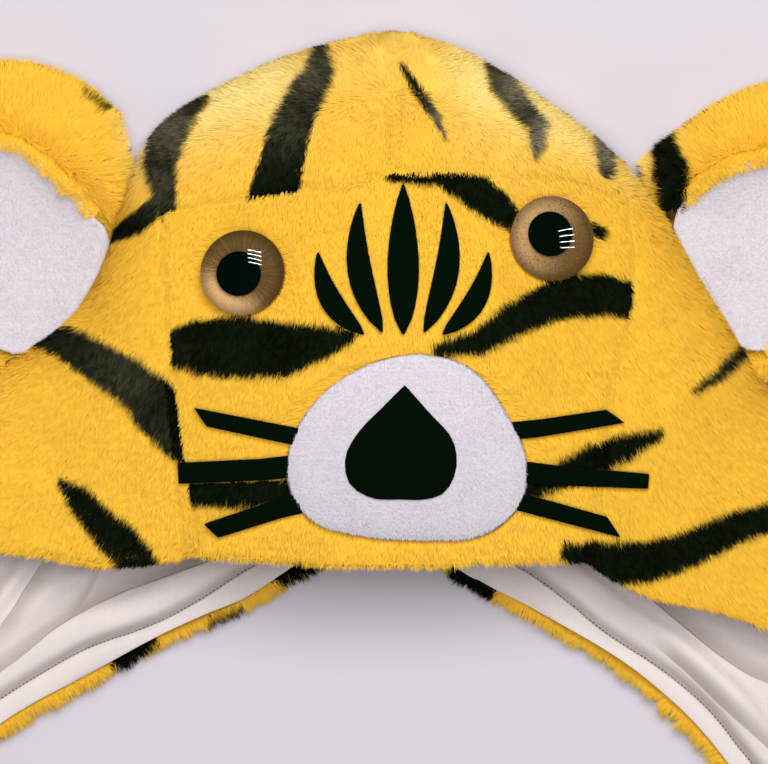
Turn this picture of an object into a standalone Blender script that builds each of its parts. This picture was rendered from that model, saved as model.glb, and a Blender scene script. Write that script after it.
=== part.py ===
"""Plush tiger costume laid flat, face up: a hood with ears, eyes, nose and whiskers, and the jumpsuit below it.

Sizes are in millimetres until a mesh is made. X runs to the right, Y to the crown, Z off the surface that the
costume lies on. The tables' origin is the middle of the hood's brim, on that surface.
"""

import math

import bmesh
import bpy
import numpy as np
from mathutils import Vector
from mathutils.bvhtree import BVHTree

millimetre = 0.001
seamGap = 0.3
plushWall = 6.0
foldRadius = 6.0
spanSteps = 2

# The hood's halves. Each row is one section, from the face's edge over the fold to the neck's edge:
# outline on the surface, face edge with its height, neck edge.
hoodColumns = ("outX", "outY", "faceX", "faceY", "faceZ", "neckX", "neckY")
hoodLeft = {
    "rows": (
        (-252, -100, -226, -112, 21, -223, -119),
        (-257, -50, -220, -58, 24, -190, -88),
        (-247, 10, -204, -12, 28, -160, -66),
        (-226, 48, -170, 3, 33, -134, -53),
        (-201, 68, -127, -4, 39, -102, -35),
        (-180, 80, -84, 1, 45, -78, -24),
        (-161, 90, -89, 42, 51, -59, -16),
        (-138, 107, -94, 80, 52, -46, -7),
        (-123, 137, -98, 128, 44, -34, -1),
        (-116, 165, -99, 149, 38, -25, 1),
        (-101, 188, -75, 154, 46, -18, 3),
        (-77, 203, -48, 157, 54, -12, 5),
        (-41, 219, -22, 162, 59, -6, 6),
        (0, 228, 0, 165, 61, 0, 6),
    ),
    "faceCorners": (5, 9),
}
hoodRight = {
    "rows": (
        (240, -136, 214, -142, 21, 208, -151),
        (247, -85, 210, -94, 24, 178, -130),
        (238, -25, 192, -50, 28, 156, -108),
        (218, 14, 160, -31, 33, 139, -84),
        (198, 36, 135, -22, 37, 111, -56),
        (182, 52, 107, -16, 41, 92, -42),
        (170, 64, 80, -1, 45, 66, -27),
        (160, 76, 84, 34, 51, 48, -17),
        (148, 96, 91, 74, 52, 34, -10),
        (131, 123, 101, 110, 42, 26, -5),
        (114, 153, 97, 156, 34, 19, 1),
        (90, 179, 71, 166, 43, 13, 4),
        (60, 201, 46, 166, 53, 8, 5),
        (31, 219, 22, 166, 59, 4, 6),
        (0, 228, 0, 165, 61, 0, 6),
    ),
    "faceCorners": (6, 10),
}
backSpans = 4
foldSpans = 3
frontSpans = 7
domeTurn = math.radians(78)

# The face panel's free lower edge, between the two halves.
brimRows = ((-42, -1, 50), (0, -2, 52), (42, -1, 50))
panelBulge = 7.0
panelDivide = 2

# Toy eyes, pressed into the pile.
eyeRadius = 18.0
eyeBase = 2.0
eyeDome = 7.0
eyeRings = 5
eyeSides = 24
eyeLevelling = 0.45
eyes = {"left": (-65.6, 122.3), "right": (67.4, 137.6)}
pressDepth = 3.2
pressRamp = 9.0

# Nose patch and nose: points that their outlines pass, and the middle.
patchMiddle = (5, 44)
patchOutline = (
    (8.6, 88.6), (-11, 84), (-31.8, 71), (-46.9, 43.9), (-46.9, 32.3), (-38.3, 16.8), (-16, 9.4),
    (14.2, 7.3), (37.4, 9), (55.5, 24.1), (57.6, 40.4), (48.2, 62.8), (32.3, 82.6),
)
patchThickness = 2.6
noseMiddle = (2.5, 44)
noseOutline = (
    (4.2, 74.6), (-6, 64.5), (-16, 54), (-21.3, 44), (-19.5, 32), (-9.5, 25.8), (2, 25.4),
    (13.3, 25.4), (20.2, 27.5), (26.2, 38), (25.4, 49.5), (14, 63.5),
)
noseThickness = 1.8

# Whiskers: root, tip, width at each, and how far the tip is drawn out to a point.
feltThickness = 1.6
whiskerColumns = ("rootX", "rootY", "tipX", "tipY", "rootWidth", "tipWidth", "point")
whiskers = {
    "left_upper": (-36, 51, -80, 60, 7.7, 6.8, 7),
    "left_middle": (-40, 39, -92.9, 36.6, 9.5, 9, 0),
    "left_lower": (-36, 26, -77, 12.5, 8.6, 7.6, 4),
    "right_upper": (46, 53.5, 91, 60.5, 7.8, 6.8, 7),
    "right_middle": (50, 37, 108.8, 33.1, 9.5, 6.4, 0),
    "right_lower": (46, 26.5, 90, 14.5, 8, 7, 8),
}
whiskerStep = 6.0

# Forehead mark: tapered leaves fanned out above the patch.
leafColumns = ("rootX", "rootY", "tipX", "tipY", "width", "bend")
foreheadLeaves = {
    "centre": (3.5, 96, 3.5, 160, 13.5, 0),
    "inner_left": (-5.5, 97, -15, 152, 10.5, -5),
    "inner_right": (12.5, 97, 22, 152, 10.5, 5),
    "outer_left": (-13.5, 96, -33, 131, 9.5, -5),
    "outer_right": (20.5, 96, 40, 131, 9.5, 5),
}
leafSteps = 10
leafEnd = 0.9

# Ears: middle of the white front, then its edge and the outer edge by angle, counted from +X.
earColumns = ("angle", "innerRadius", "outerRadius")
ears = {
    "left": {
        "middle": (-172, 134),
        "rows": (
            (0, 48, 72), (11, 46, 78), (46, 40.5, 80), (68, 44, 84), (88, 47, 82), (120, 47, 75),
            (180, 46, 60), (225, 44, 50), (270, 42, 48), (315, 48, 62),
        ),
    },
    "right": {
        "middle": (170, 131),
        "rows": (
            (0, 48, 62), (60, 46, 74), (90, 42, 76), (103, 43, 75), (124, 47, 76), (147, 51, 80),
            (165, 58, 92), (180, 56, 90), (225, 52, 66), (270, 42, 48), (315, 44, 50),
        ),
    },
}
earSides = 30
earClear = 0.5
earFloor = 6.0
earLip = 19.0
earRoll = 27.0
earEdge = 12.0
earFrontThickness = 2.6

# Lining of the back: knit, loose over the plush, with a few soft ridges.
liningThickness = 1.0
liningInset = 5.0
liningSpans = 8
ridgeColumns = ("fromX", "fromY", "toX", "toY", "width", "height")
liningRidges = (
    (-72, 6, -150, -33, 8, 7),
    (-146, 8, -176, -36, 8, 6),
    (-60, -8, -120, -42, 6, 3),
    (108, -12, 162, -60, 8, 7),
    (60, -14, 118, -52, 6, 3),
    (160, -34, 182, -72, 8, 5),
)

# The jumpsuit, measured from the neck end of the shoulder, as half sizes.
suitTop = -186.0
suitColumns = ("outX", "outY", "inX", "inY")
armholeCorner = 4
suitFront = (
    (148, -30, 62, 0),
    (151, -50, 56, -34),
    (154, -70, 36, -62),
    (158, -97, 0, -74),
    (166, -150, 0, -150),
    (168, -250, 0, -250),
    (175, -370, 0, -370),
    (180, -465, 0, -465),
    (180, -520, 10, -510),
    (175, -640, 32, -640),
    (166, -745, 44, -745),
    (162, -850, 54, -850),
)
suitBackNeck = ((62, 0), (50, -13), (28, -19), (0, -21))
suitLift = 2.4
suitFolds = (
    (20, -455, 150, -400, 22, 2.6),
    (24, -500, 150, -560, 22, 2.4),
    (30, -640, 160, -665, 20, 2.0),
    (60, -180, 150, -140, 20, 1.6),
    (40, -300, 160, -285, 24, 1.6),
)
frontPanelSpans = 7
backPanelSpans = 3
placketWidth = 30.0
placketTop = -80.0
placketLength = 330.0

# Sleeves: upper and lower edge by section.
sleeveColumns = ("upX", "upY", "lowX", "lowY")
sleeveRows = (
    (148.5, -30, 166.5, -150),
    (198, -48, 178, -187),
    (249, -95, 207, -213),
    (315, -166, 238, -242),
    (379, -241, 311, -310),
)
sleeveSection = (
    (0, 7), (0.04, 2), (0.12, 0), (0.37, 0), (0.63, 0), (0.88, 0), (0.96, 2),
    (1, 7), (0.96, 12), (0.88, 14), (0.63, 15), (0.37, 15), (0.12, 14), (0.04, 12),
)
sleeveWallBelow = 5.5
sleeveHollow = 3.4
sleeveInset = 0.05

materialLooks = {
    "plush": ((0.90, 0.50, 0.04), 0.95, 0.0),
    "white_pile": ((0.86, 0.84, 0.88), 0.9, 0.0),
    "felt": ((0.006, 0.008, 0.007), 0.95, 0.0),
    "lining": ((0.70, 0.66, 0.64), 0.85, 0.0),
    "eye": ((0.30, 0.18, 0.07), 0.2, 0.0),
}


def smoothSpan(points, steps):
    """A curve through the points, with the given steps between each two."""
    points = np.asarray(points, float)
    if len(points) == 2:
        return points[0] + np.linspace(0, 1, steps + 1)[:, None] * (points[1] - points[0])
    chords = np.diff(points, axis=0)
    lengths = np.linalg.norm(chords[:, :2], axis=1)[:, None]
    slopes = chords / lengths
    middle = (slopes[:-1] * lengths[1:] + slopes[1:] * lengths[:-1]) / (lengths[:-1] + lengths[1:])
    tangents = np.vstack([1.5 * slopes[:1] - 0.5 * middle[:1], middle, 1.5 * slopes[-1:] - 0.5 * middle[-1:]])
    made = [points[:1]]
    for i, length in enumerate(lengths):
        t = np.linspace(0, 1, steps + 1)[1:, None]
        made.append(
            (2 * t**3 - 3 * t**2 + 1) * points[i]
            + (t**3 - 2 * t**2 + t) * length * tangents[i]
            + (3 * t**2 - 2 * t**3) * points[i + 1]
            + (t**3 - t**2) * length * tangents[i + 1]
        )
    return np.vstack(made)


def smoothCurve(points, steps, corners=()):
    """smoothSpan in stretches that meet at the corners."""
    ends = [0, *corners, len(points) - 1]
    stretches = [smoothSpan(points[a : b + 1], steps) for a, b in zip(ends, ends[1:])]
    return np.vstack([stretches[0], *[stretch[1:] for stretch in stretches[1:]]])


def smoothLoop(points, count):
    """Evenly spaced points on a closed curve through the given ones. The first one stays sharp."""
    points = np.asarray(points, float)
    fine = smoothSpan(np.vstack([points, points[:1]]), 12)
    along = np.concatenate([[0], np.cumsum(np.linalg.norm(np.diff(fine, axis=0), axis=1))])
    wanted = np.linspace(0, along[-1], count + 1)[:-1]
    return np.stack([np.interp(wanted, along, fine[:, axis]) for axis in (0, 1)], axis=1)


def columns(rows, names, *wanted):
    """The wanted columns of a table, side by side."""
    return np.asarray(rows, float)[:, [names.index(name) for name in wanted]]


def unit(vectors):
    return vectors / np.linalg.norm(vectors, axis=-1, keepdims=True)


def smoothStep(value):
    value = np.clip(value, 0, 1)
    return value * value * (3 - 2 * value)


def gridNormals(points):
    """Upward normals of a grid of points."""
    along = np.gradient(points, axis=0)
    across = np.gradient(points, axis=1)
    normals = unit(np.cross(along, across))
    return normals * np.where(normals[..., 2:] < 0, -1, 1)


def ridgeHeight(x, y, ridges):
    """Height of soft ridges at a place, each a straight crest that fades at its ends."""
    total = np.zeros_like(x)
    for fromX, fromY, toX, toY, width, height in ridges:
        run = np.array([toX - fromX, toY - fromY], float)
        along = ((x - fromX) * run[0] + (y - fromY) * run[1]) / (run @ run)
        off = ((x - fromX) * run[1] - (y - fromY) * run[0]) / np.linalg.norm(run)
        fade = smoothStep(np.minimum(along + 0.15, 1.15 - along) / 0.35)
        total = np.maximum(total, height * fade * np.exp(-((off / width) ** 2)))
    return total


def wallFaces(rows, spans, wrap=False):
    """Faces of a wall between two grids of points, the outer one first, closed at its rims."""
    count = rows * spans
    faces = []
    across = spans if wrap else spans - 1
    for i in range(rows - 1):
        for j in range(across):
            k = (j + 1) % spans
            quad = [i * spans + j, i * spans + k, (i + 1) * spans + k, (i + 1) * spans + j]
            faces.append(quad)
            faces.append([count + v for v in reversed(quad)])
    for i in (0, rows - 1):
        for j in range(across):
            edge = [i * spans + j, i * spans + (j + 1) % spans]
            faces.append([*edge, count + edge[1], count + edge[0]])
    if not wrap:
        for j in (0, spans - 1):
            for i in range(rows - 1):
                edge = [i * spans + j, (i + 1) * spans + j]
                faces.append([*edge, count + edge[1], count + edge[0]])
    return faces


def discFaces(rings, sides):
    """Faces of a closed disc: upper rings from the rim to a middle point, then lower ones from the rim."""
    faces = []
    upperMiddle = 2 * rings * sides
    for layer in (0, 1):
        start = layer * rings * sides
        for j in range(sides):
            k = (j + 1) % sides
            for i in range(rings - 1):
                a = start + i * sides
                faces.append([a + j, a + k, a + sides + k, a + sides + j])
            inner = start + (rings - 1) * sides
            faces.append([inner + j, inner + k, upperMiddle + layer])
    for j in range(sides):
        k = (j + 1) % sides
        faces.append([j, k, rings * sides + k, rings * sides + j])
    return faces


def addObject(name, points, faces, look, anchor=(0, 0, 0)):
    """One closed body from points in millimetres, with its origin at the anchor."""
    shape = bmesh.new()
    for point in np.asarray(points).reshape(-1, 3):
        shape.verts.new((point - np.asarray(anchor)) * millimetre)
    shape.verts.ensure_lookup_table()
    for face in faces:
        shape.faces.new([shape.verts[i] for i in face])
    bmesh.ops.triangulate(shape, faces=shape.faces, quad_method="SHORT_EDGE")
    bmesh.ops.recalc_face_normals(shape, faces=shape.faces)
    mesh = bpy.data.meshes.new(name)
    shape.to_mesh(mesh)
    shape.free()
    mesh.shade_smooth()
    mesh.set_sharp_from_angle(angle=math.radians(50))
    mesh.materials.append(looks[look])
    made = bpy.data.objects.new(name, mesh)
    bpy.context.scene.collection.objects.link(made)
    made.parent = costume
    made.location = Vector(anchor) * millimetre
    return made


class Surface:
    """The upper side of some objects, read from above."""

    def __init__(self, objects):
        self.trees = [self.treeOf(one) for one in objects]

    @staticmethod
    def treeOf(one):
        place = np.array(one.location) / millimetre
        points = [tuple(np.array(vertex.co) / millimetre + place) for vertex in one.data.vertices]
        return BVHTree.FromPolygons(points, [tuple(polygon.vertices) for polygon in one.data.polygons])

    def height(self, x, y, reach=1.2):
        """The highest point within reach of a place, so that a seam's gap is bridged."""
        heights = []
        for offX, offY in ((0, 0), (reach, 0), (-reach, 0), (0, reach), (0, -reach)):
            for tree in self.trees:
                hit = tree.ray_cast((x + offX, y + offY, 500), (0, 0, -1))[0]
                if hit is not None:
                    heights.append(hit[2])
        return max(heights)

    def heights(self, points):
        return np.array([self.height(x, y) for x, y in np.asarray(points).reshape(-1, 2)])


def pressedAt(x, y):
    """How far the pile is pressed down under the eyes and the nose patch."""
    pressed = np.zeros_like(x)
    for eyeX, eyeY in eyes.values():
        away = np.hypot(x - eyeX, y - eyeY) - eyeRadius
        pressed = np.maximum(pressed, smoothStep(1 - away / pressRamp))
    outline = smoothLoop(patchOutline, 48) - patchMiddle
    angles = np.arctan2(outline[:, 1], outline[:, 0])
    order = np.argsort(angles)
    radii = np.linalg.norm(outline, axis=1)[order]
    here = np.arctan2(y - patchMiddle[1], x - patchMiddle[0])
    edge = np.interp(here, angles[order], radii, period=2 * math.pi)
    away = np.hypot(x - patchMiddle[0], y - patchMiddle[1]) - edge
    return pressDepth * np.maximum(pressed, smoothStep(1 - away / pressRamp))


def hoodSections(table, side):
    """Middle surface and outward normals of one half of the hood, and its curves."""
    rows = table["rows"]
    out = smoothCurve(columns(rows, hoodColumns, "outX", "outY"), spanSteps)
    face = smoothCurve(columns(rows, hoodColumns, "faceX", "faceY", "faceZ"), spanSteps, table["faceCorners"])
    neck = smoothCurve(columns(rows, hoodColumns, "neckX", "neckY"), spanSteps)
    tangent = unit(np.gradient(out, axis=0))
    outward = np.stack([side * tangent[:, 1], -side * tangent[:, 0]], axis=1)
    outward[-1] = (0, 1)
    half = plushWall / 2
    edge = out - half * outward
    start = edge - foldRadius * outward
    foldTop = half + foldRadius
    count = len(out)
    sections = []
    normals = []
    down = np.tile((0.0, 0.0, -1.0), (count, 1))
    for share in np.linspace(0, 1, backSpans + 1):
        sections.append(np.column_stack([neck + share * (start - neck), np.full(count, half)]))
        normals.append(down)
    for turn in np.linspace(0, math.pi / 2, foldSpans + 1)[1:]:
        height = np.full(count, half + foldRadius * (1 - math.cos(turn)))
        sections.append(np.column_stack([start + foldRadius * math.sin(turn) * outward, height]))
        normals.append(np.column_stack([math.sin(turn) * outward, np.full(count, -math.cos(turn))]))
    for turn in np.linspace(0, domeTurn, frontSpans + 1)[1:]:
        share = (1 - math.cos(turn)) / (1 - math.cos(domeTurn))
        height = foldTop + (face[:, 2] - foldTop) * math.sin(turn) / math.sin(domeTurn)
        sections.append(np.column_stack([edge + share * (face[:, :2] - edge), height]))
        normals.append(None)
    middle = np.stack(sections, axis=1)
    front = gridNormals(middle[:, backSpans + foldSpans :])
    for j in range(frontSpans):
        normals[backSpans + foldSpans + 1 + j] = front[:, j + 1]
    normals = np.stack(normals, axis=1)
    normals[-1, :, 0] = 0
    return middle, unit(normals), {"out": out, "face": face, "neck": neck, "start": start, "outward": outward}


def makeHoodHalf(name, middle, normals, side):
    """A plush half: its wall follows the sections, with the pile side out."""
    points = middle.copy()
    points[-1, :, 0] = side * seamGap / 2
    press = np.where(points[..., 2] > plushWall, pressedAt(points[..., 0], points[..., 1]), 0)
    outer = points + normals * (plushWall / 2 - press)[..., None]
    inner = points - normals * plushWall / 2
    return addObject(name, np.concatenate([outer.reshape(-1, 3), inner.reshape(-1, 3)]),
                     wallFaces(*middle.shape[:2]), "plush")


def divided(curve, parts):
    """Each span of a curve cut into equal parts."""
    places = np.arange(0, (len(curve) - 1) * parts + 1) / parts
    return np.stack([np.interp(places, np.arange(len(curve)), curve[:, k]) for k in range(curve.shape[1])], axis=1)


def panelBorder(sections, table):
    """The part of a half's face edge that the panel is sewn to, as points and normals."""
    middle, normals, _ = sections
    first, last = (corner * spanSteps for corner in table["faceCorners"])
    border = np.concatenate([middle[:, -1], normals[:, -1]], axis=1)
    return border[first : last + 1], border[last:]


def makeFacePanel(left, right):
    """The plush face, spanned between its seams and the brim, with a slight bulge."""
    leftSide, leftTop = panelBorder(left, hoodLeft)
    rightSide, rightTop = panelBorder(right, hoodRight)
    top = divided(np.vstack([leftTop, rightTop[::-1][1:]]), panelDivide)
    leftSide = divided(leftSide, panelDivide)
    rightSide = divided(rightSide, panelDivide)
    brim = smoothCurve([leftSide[0, :3], *brimRows, rightSide[0, :3]], (len(top) - 1) // 4)
    u = np.linspace(0, 1, len(top))[None, :, None]
    v = np.linspace(0, 1, len(leftSide))[:, None, None]
    sides = (1 - u) * leftSide[:, None, :3] + u * rightSide[:, None, :3]
    ends = (1 - v) * brim[None] + v * top[None, :, :3]
    corners = (
        (1 - u) * (1 - v) * leftSide[0, :3] + u * (1 - v) * rightSide[0, :3]
        + (1 - u) * v * top[0, :3] + u * v * top[-1, :3]
    )
    middle = sides + ends - corners
    middle[..., 2] += (panelBulge * np.sin(math.pi * u) * np.sin(math.pi * v))[..., 0]
    normals = gridNormals(middle)
    normals[:, 0] = leftSide[:, 3:]
    normals[:, -1] = rightSide[:, 3:]
    normals[-1] = top[:, 3:]
    normals = unit(normals)
    border = middle.copy()
    for edge, inside in (((slice(None), 0), (slice(None), 1)), ((slice(None), -1), (slice(None), -2)),
                         ((-1, slice(None)), (-2, slice(None)))):
        border[edge] += 1.2 * seamGap * unit(middle[inside] - middle[edge])
    press = pressedAt(border[..., 0], border[..., 1])
    outer = border + normals * (plushWall / 2 - press)[..., None]
    inner = border - normals * plushWall / 2
    return addObject("face_panel", np.concatenate([outer.reshape(-1, 3), inner.reshape(-1, 3)]),
                     wallFaces(*middle.shape[:2]), "plush")


def makeLining(name, sections, side):
    """Knit on the inside of the back, a little short of the neck edge and of the fold."""
    _, _, curves = sections
    inset = unit(curves["start"] - curves["neck"]) * liningInset
    first = curves["neck"] + inset
    last = curves["start"] - 2 * curves["outward"] - 0.5 * inset
    share = np.linspace(0, 1, liningSpans + 1)[None, :, None]
    flat = first[:, None] * (1 - share) + last[:, None] * share
    flat[-1, :, 0] = side * seamGap
    low = plushWall + seamGap + ridgeHeight(flat[..., 0], flat[..., 1], liningRidges)
    under = np.concatenate([flat, low[..., None]], axis=-1)
    over = under + (0, 0, liningThickness)
    return addObject(name, np.concatenate([over.reshape(-1, 3), under.reshape(-1, 3)]),
                     wallFaces(*flat.shape[:2]), "lining")


def makeDisc(name, outline, middle, carrier, thickness, look, rings=4):
    """A flat-sewn piece of the given outline on a carrier, its upper edge eased."""
    loop = np.asarray(outline) - middle
    flat = np.concatenate([middle + loop * (1 - i / rings) for i in range(rings)])
    shrink = np.concatenate([middle + loop * (1 - max(i / rings, 0.015)) for i in range(rings)])
    low = carrier.heights(flat) + seamGap
    ease = np.repeat([0.55] + [1.0] * (rings - 1), len(loop))
    middleLow = carrier.height(*middle) + seamGap
    points = np.concatenate([
        np.column_stack([shrink, low + thickness * ease]),
        np.column_stack([flat, low]),
        [[*middle, middleLow + thickness], [*middle, middleLow]],
    ])
    anchor = (*middle, middleLow)
    return addObject(name, points, discFaces(rings, len(loop)), look, anchor)


def makeStrip(name, lines, carrier, thickness, look):
    """A strip over a carrier: lines run along it, side by side, each an array of places."""
    grid = np.stack(lines, axis=1)
    low = carrier.heights(grid).reshape(grid.shape[:2]) + seamGap
    under = np.concatenate([grid, low[..., None]], axis=-1)
    over = under + (0, 0, thickness)
    over[:, 0, 2] -= 0.3 * thickness
    over[:, -1, 2] -= 0.3 * thickness
    anchor = under[0, 1]
    return addObject(name, np.concatenate([over.reshape(-1, 3), under.reshape(-1, 3)]),
                     wallFaces(*grid.shape[:2]), look, anchor)


def clearOfPatch(start, run, clearance):
    """How far along a run from the start the nose patch ends."""
    outline = smoothLoop(patchOutline, 96) - patchMiddle
    angles = np.arctan2(outline[:, 1], outline[:, 0])
    order = np.argsort(angles)
    radii = np.linalg.norm(outline, axis=1)[order]
    for share in np.linspace(0, 0.6, 241):
        place = start + share * run - patchMiddle
        edge = np.interp(math.atan2(place[1], place[0]), angles[order], radii, period=2 * math.pi)
        if np.linalg.norm(place) > edge + clearance:
            return share
    return 0.6


def makeWhiskers(carrier):
    for name, row in whiskers.items():
        size = dict(zip(whiskerColumns, row))
        root = np.array([size["rootX"], size["rootY"]], float)
        tip = np.array([size["tipX"], size["tipY"]], float)
        along = unit(tip - root)
        across = np.array([-along[1], along[0]])
        steps = max(4, round(np.linalg.norm(tip - root) / whiskerStep))
        lines = []
        for place in (-0.5, 0, 0.5):
            start = root + place * size["rootWidth"] * across
            end = tip + place * size["tipWidth"] * across + (0.5 - place) * size["point"] * along
            share = clearOfPatch(start, end - start, 2 * seamGap)
            lines.append(start + np.linspace(share, 1, steps + 1)[:, None] * (end - start))
        makeStrip(f"whisker_{name}", lines, carrier, feltThickness, "felt")


def makeForehead(carrier):
    for name, row in foreheadLeaves.items():
        size = dict(zip(leafColumns, row))
        root = np.array([size["rootX"], size["rootY"]], float)
        tip = np.array([size["tipX"], size["tipY"]], float)
        t = np.linspace(0, 1, leafSteps + 1)[:, None]
        across = unit(np.array([root[1] - tip[1], tip[0] - root[0]]))
        line = root + t * (tip - root) - 4 * t * (1 - t) * abs(size["bend"]) * np.sign(size["bend"]) * across
        width = leafEnd + (size["width"] - leafEnd) * np.sin(math.pi * t**0.85) ** 0.8
        lines = [line + place * width * across for place in (-0.5, 0, 0.5)]
        makeStrip(f"forehead_leaf_{name}", lines, carrier, feltThickness, "felt")


def makeEye(name, place, carrier):
    """A domed toy eye that lies square to the pile under it."""
    reach = eyeRadius * 0.7
    x, y = place
    east = Vector((2 * reach, 0, carrier.height(x + reach, y) - carrier.height(x - reach, y)))
    north = Vector((0, 2 * reach, carrier.height(x, y + reach) - carrier.height(x, y - reach)))
    normal = east.cross(north).normalized().lerp(Vector((0, 0, 1)), eyeLevelling).normalized()
    foot = Vector((x, y, carrier.height(x, y, 0.1)))
    highest = 0
    for radius in (0.3, 0.6, 0.8, 0.97):
        for i in range(24):
            turn = i * math.tau / 24
            spot = (x + radius * eyeRadius * math.cos(turn), y + radius * eyeRadius * math.sin(turn))
            highest = max(highest, (Vector((*spot, carrier.height(*spot, 0.1))) - foot).dot(normal))
    foot += normal * (highest + seamGap)
    ball = (eyeRadius**2 + eyeDome**2) / (2 * eyeDome)
    open_ = math.asin(eyeRadius / ball)
    rings = []
    for i in range(eyeRings):
        turn = open_ * (1 - i / eyeRings)
        rings.append((ball * math.sin(turn), eyeBase + ball * math.cos(turn) - ball + eyeDome))
    lower = [(eyeRadius * (1 - i / eyeRings), 0.0) for i in range(eyeRings)]
    lower[0] = (eyeRadius * 0.96, 0.0)
    points = [
        (radius * math.cos(j * math.tau / eyeSides), radius * math.sin(j * math.tau / eyeSides), height)
        for radius, height in rings + lower
        for j in range(eyeSides)
    ]
    points += [(0, 0, eyeBase + eyeDome), (0, 0, 0)]
    made = addObject(name, points, discFaces(eyeRings, eyeSides), "eye")
    made.location = foot * millimetre
    made.rotation_mode = "QUATERNION"
    made.rotation_quaternion = Vector((0, 0, 1)).rotation_difference(normal)
    return made


def rayToLine(middle, angle, line):
    """Distance from a middle to a line of points, in one direction."""
    aim = np.array([math.cos(angle), math.sin(angle)])
    best = math.inf
    for a, b in zip(line, line[1:]):
        run = b - a
        cross = aim[0] * run[1] - aim[1] * run[0]
        if abs(cross) < 1e-9:
            continue
        offset = a - middle
        distance = (offset[0] * run[1] - offset[1] * run[0]) / cross
        share = (offset[0] * aim[1] - offset[1] * aim[0]) / cross
        if distance > 0 and 0 <= share <= 1:
            best = min(best, distance)
    return best


def makeEar(side, table, hoodEdge):
    """Plush back rolled over as a rim, and a white front dished inside it. It stops at the hood's side."""
    middle = np.array(table["middle"], float)
    rows = np.array(table["rows"], float)
    turns = np.arange(earSides) * math.tau / earSides
    inner = np.interp(np.degrees(turns), rows[:, 0], rows[:, 1], period=360)
    outer = np.interp(np.degrees(turns), rows[:, 0], rows[:, 2], period=360)
    halfTurn = math.pi / earSides
    reaches = [[rayToLine(middle, turn + off, hoodEdge) for turn in turns] for off in (-halfTurn, 0, halfTurn)]
    limit = np.min(reaches, axis=0) - earClear
    outer = np.minimum(outer, limit)
    inner = np.minimum(inner, outer - 1.8)
    roll = inner + 0.45 * (outer - inner)
    shoulder = inner + 0.85 * (outer - inner)
    rim = smoothStep((outer - inner) / 26)
    aims = np.stack([np.cos(turns), np.sin(turns)], axis=1)

    def ring(radius, height):
        return np.column_stack([middle + radius[:, None] * aims, np.broadcast_to(height, radius.shape)])

    lip = earFloor + (earLip - earFloor) * (0.55 + 0.45 * rim)
    crest = lip + (earRoll - earLip) * rim
    upper = [
        ring(outer, earEdge * (0.6 + 0.4 * rim)),
        ring(shoulder, 0.5 * (crest + earEdge)),
        ring(roll, crest),
        ring(inner, lip),
        ring(0.86 * inner, earFloor + 0.45 * (lip - earFloor)),
        ring(0.6 * inner, np.full(earSides, earFloor + 1)),
    ]
    rings = len(upper)
    lower = [ring(np.maximum(outer - 2, 0.2), 3.0), ring(np.maximum(outer - 5, 0.2), 0.0)]
    lower += [ring((outer - 5) * (1 - i / (rings - 1)), 0.0) for i in range(1, rings - 1)]
    ends = [[*middle, earFloor], [*middle, 0]]
    anchor = (*middle, 0)
    addObject(f"ear_back_{side}", np.concatenate([*upper, *lower, ends]), discFaces(rings, earSides), "plush", anchor)

    def bedOf(share):
        dish = np.interp(share, (0, 0.6, 0.86, 1), (0, 1, 2, 3))
        levels = (earFloor, earFloor + 1, earFloor + 0.45 * (lip - earFloor), lip)
        low = int(min(dish, 2))
        return levels[low] + (dish - low) * (levels[low + 1] - levels[low])

    shares = (0.985, 0.86, 0.6, 0.3)
    gap = 2 * seamGap
    under = [ring(share * inner, bedOf(share) + gap) for share in shares]
    over = [ring(share * inner, bedOf(share) + gap + earFrontThickness) for share in shares]
    over[0] = ring(0.97 * inner, bedOf(0.97) + gap + 0.7 * earFrontThickness)
    ends = [[*middle, earFloor + gap + earFrontThickness], [*middle, earFloor + gap]]
    addObject(f"ear_inner_{side}", np.concatenate([*over, *under, ends]), discFaces(len(shares), earSides),
              "white_pile", anchor)


def suitPanel(name, rows, side, spans, front):
    """Half a front or back, torso and leg in one, lying flat. Front halves lie on back ones."""
    out = smoothCurve(columns(rows, suitColumns, "outX", "outY"), spanSteps, (armholeCorner,))
    inside = smoothCurve(columns(rows, suitColumns, "inX", "inY"), spanSteps, (3, 7))
    inside[:, 0] += seamGap / 2
    share = np.linspace(0, 1, spans + 1)[None, :, None]
    flat = out[:, None] * (1 - share) + inside[:, None] * share
    along = np.linspace(0, 1, len(out))[:, None]
    border = np.minimum(np.minimum(share[..., 0], 1 - share[..., 0]) * spans, 1)
    border = border * np.minimum(np.minimum(along, 1 - along) * (len(out) - 1), 1)
    lift = np.zeros(flat.shape[:2])
    if front:
        folds = ridgeHeight(flat[..., 0], flat[..., 1], suitFolds)
        lift = plushWall + seamGap + border * np.minimum(suitLift * 0.5 + folds, 3.6)
    thick = plushWall * (0.62 + 0.38 * border)
    under = np.concatenate([flat, lift[..., None]], axis=-1)
    over = under + np.stack([np.zeros_like(thick), np.zeros_like(thick), thick], axis=-1)
    points = np.concatenate([over.reshape(-1, 3), under.reshape(-1, 3)])
    points *= (side, 1, 1)
    points += (0, suitTop, 0)
    return addObject(name, points, wallFaces(*flat.shape[:2]), "plush")


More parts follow.
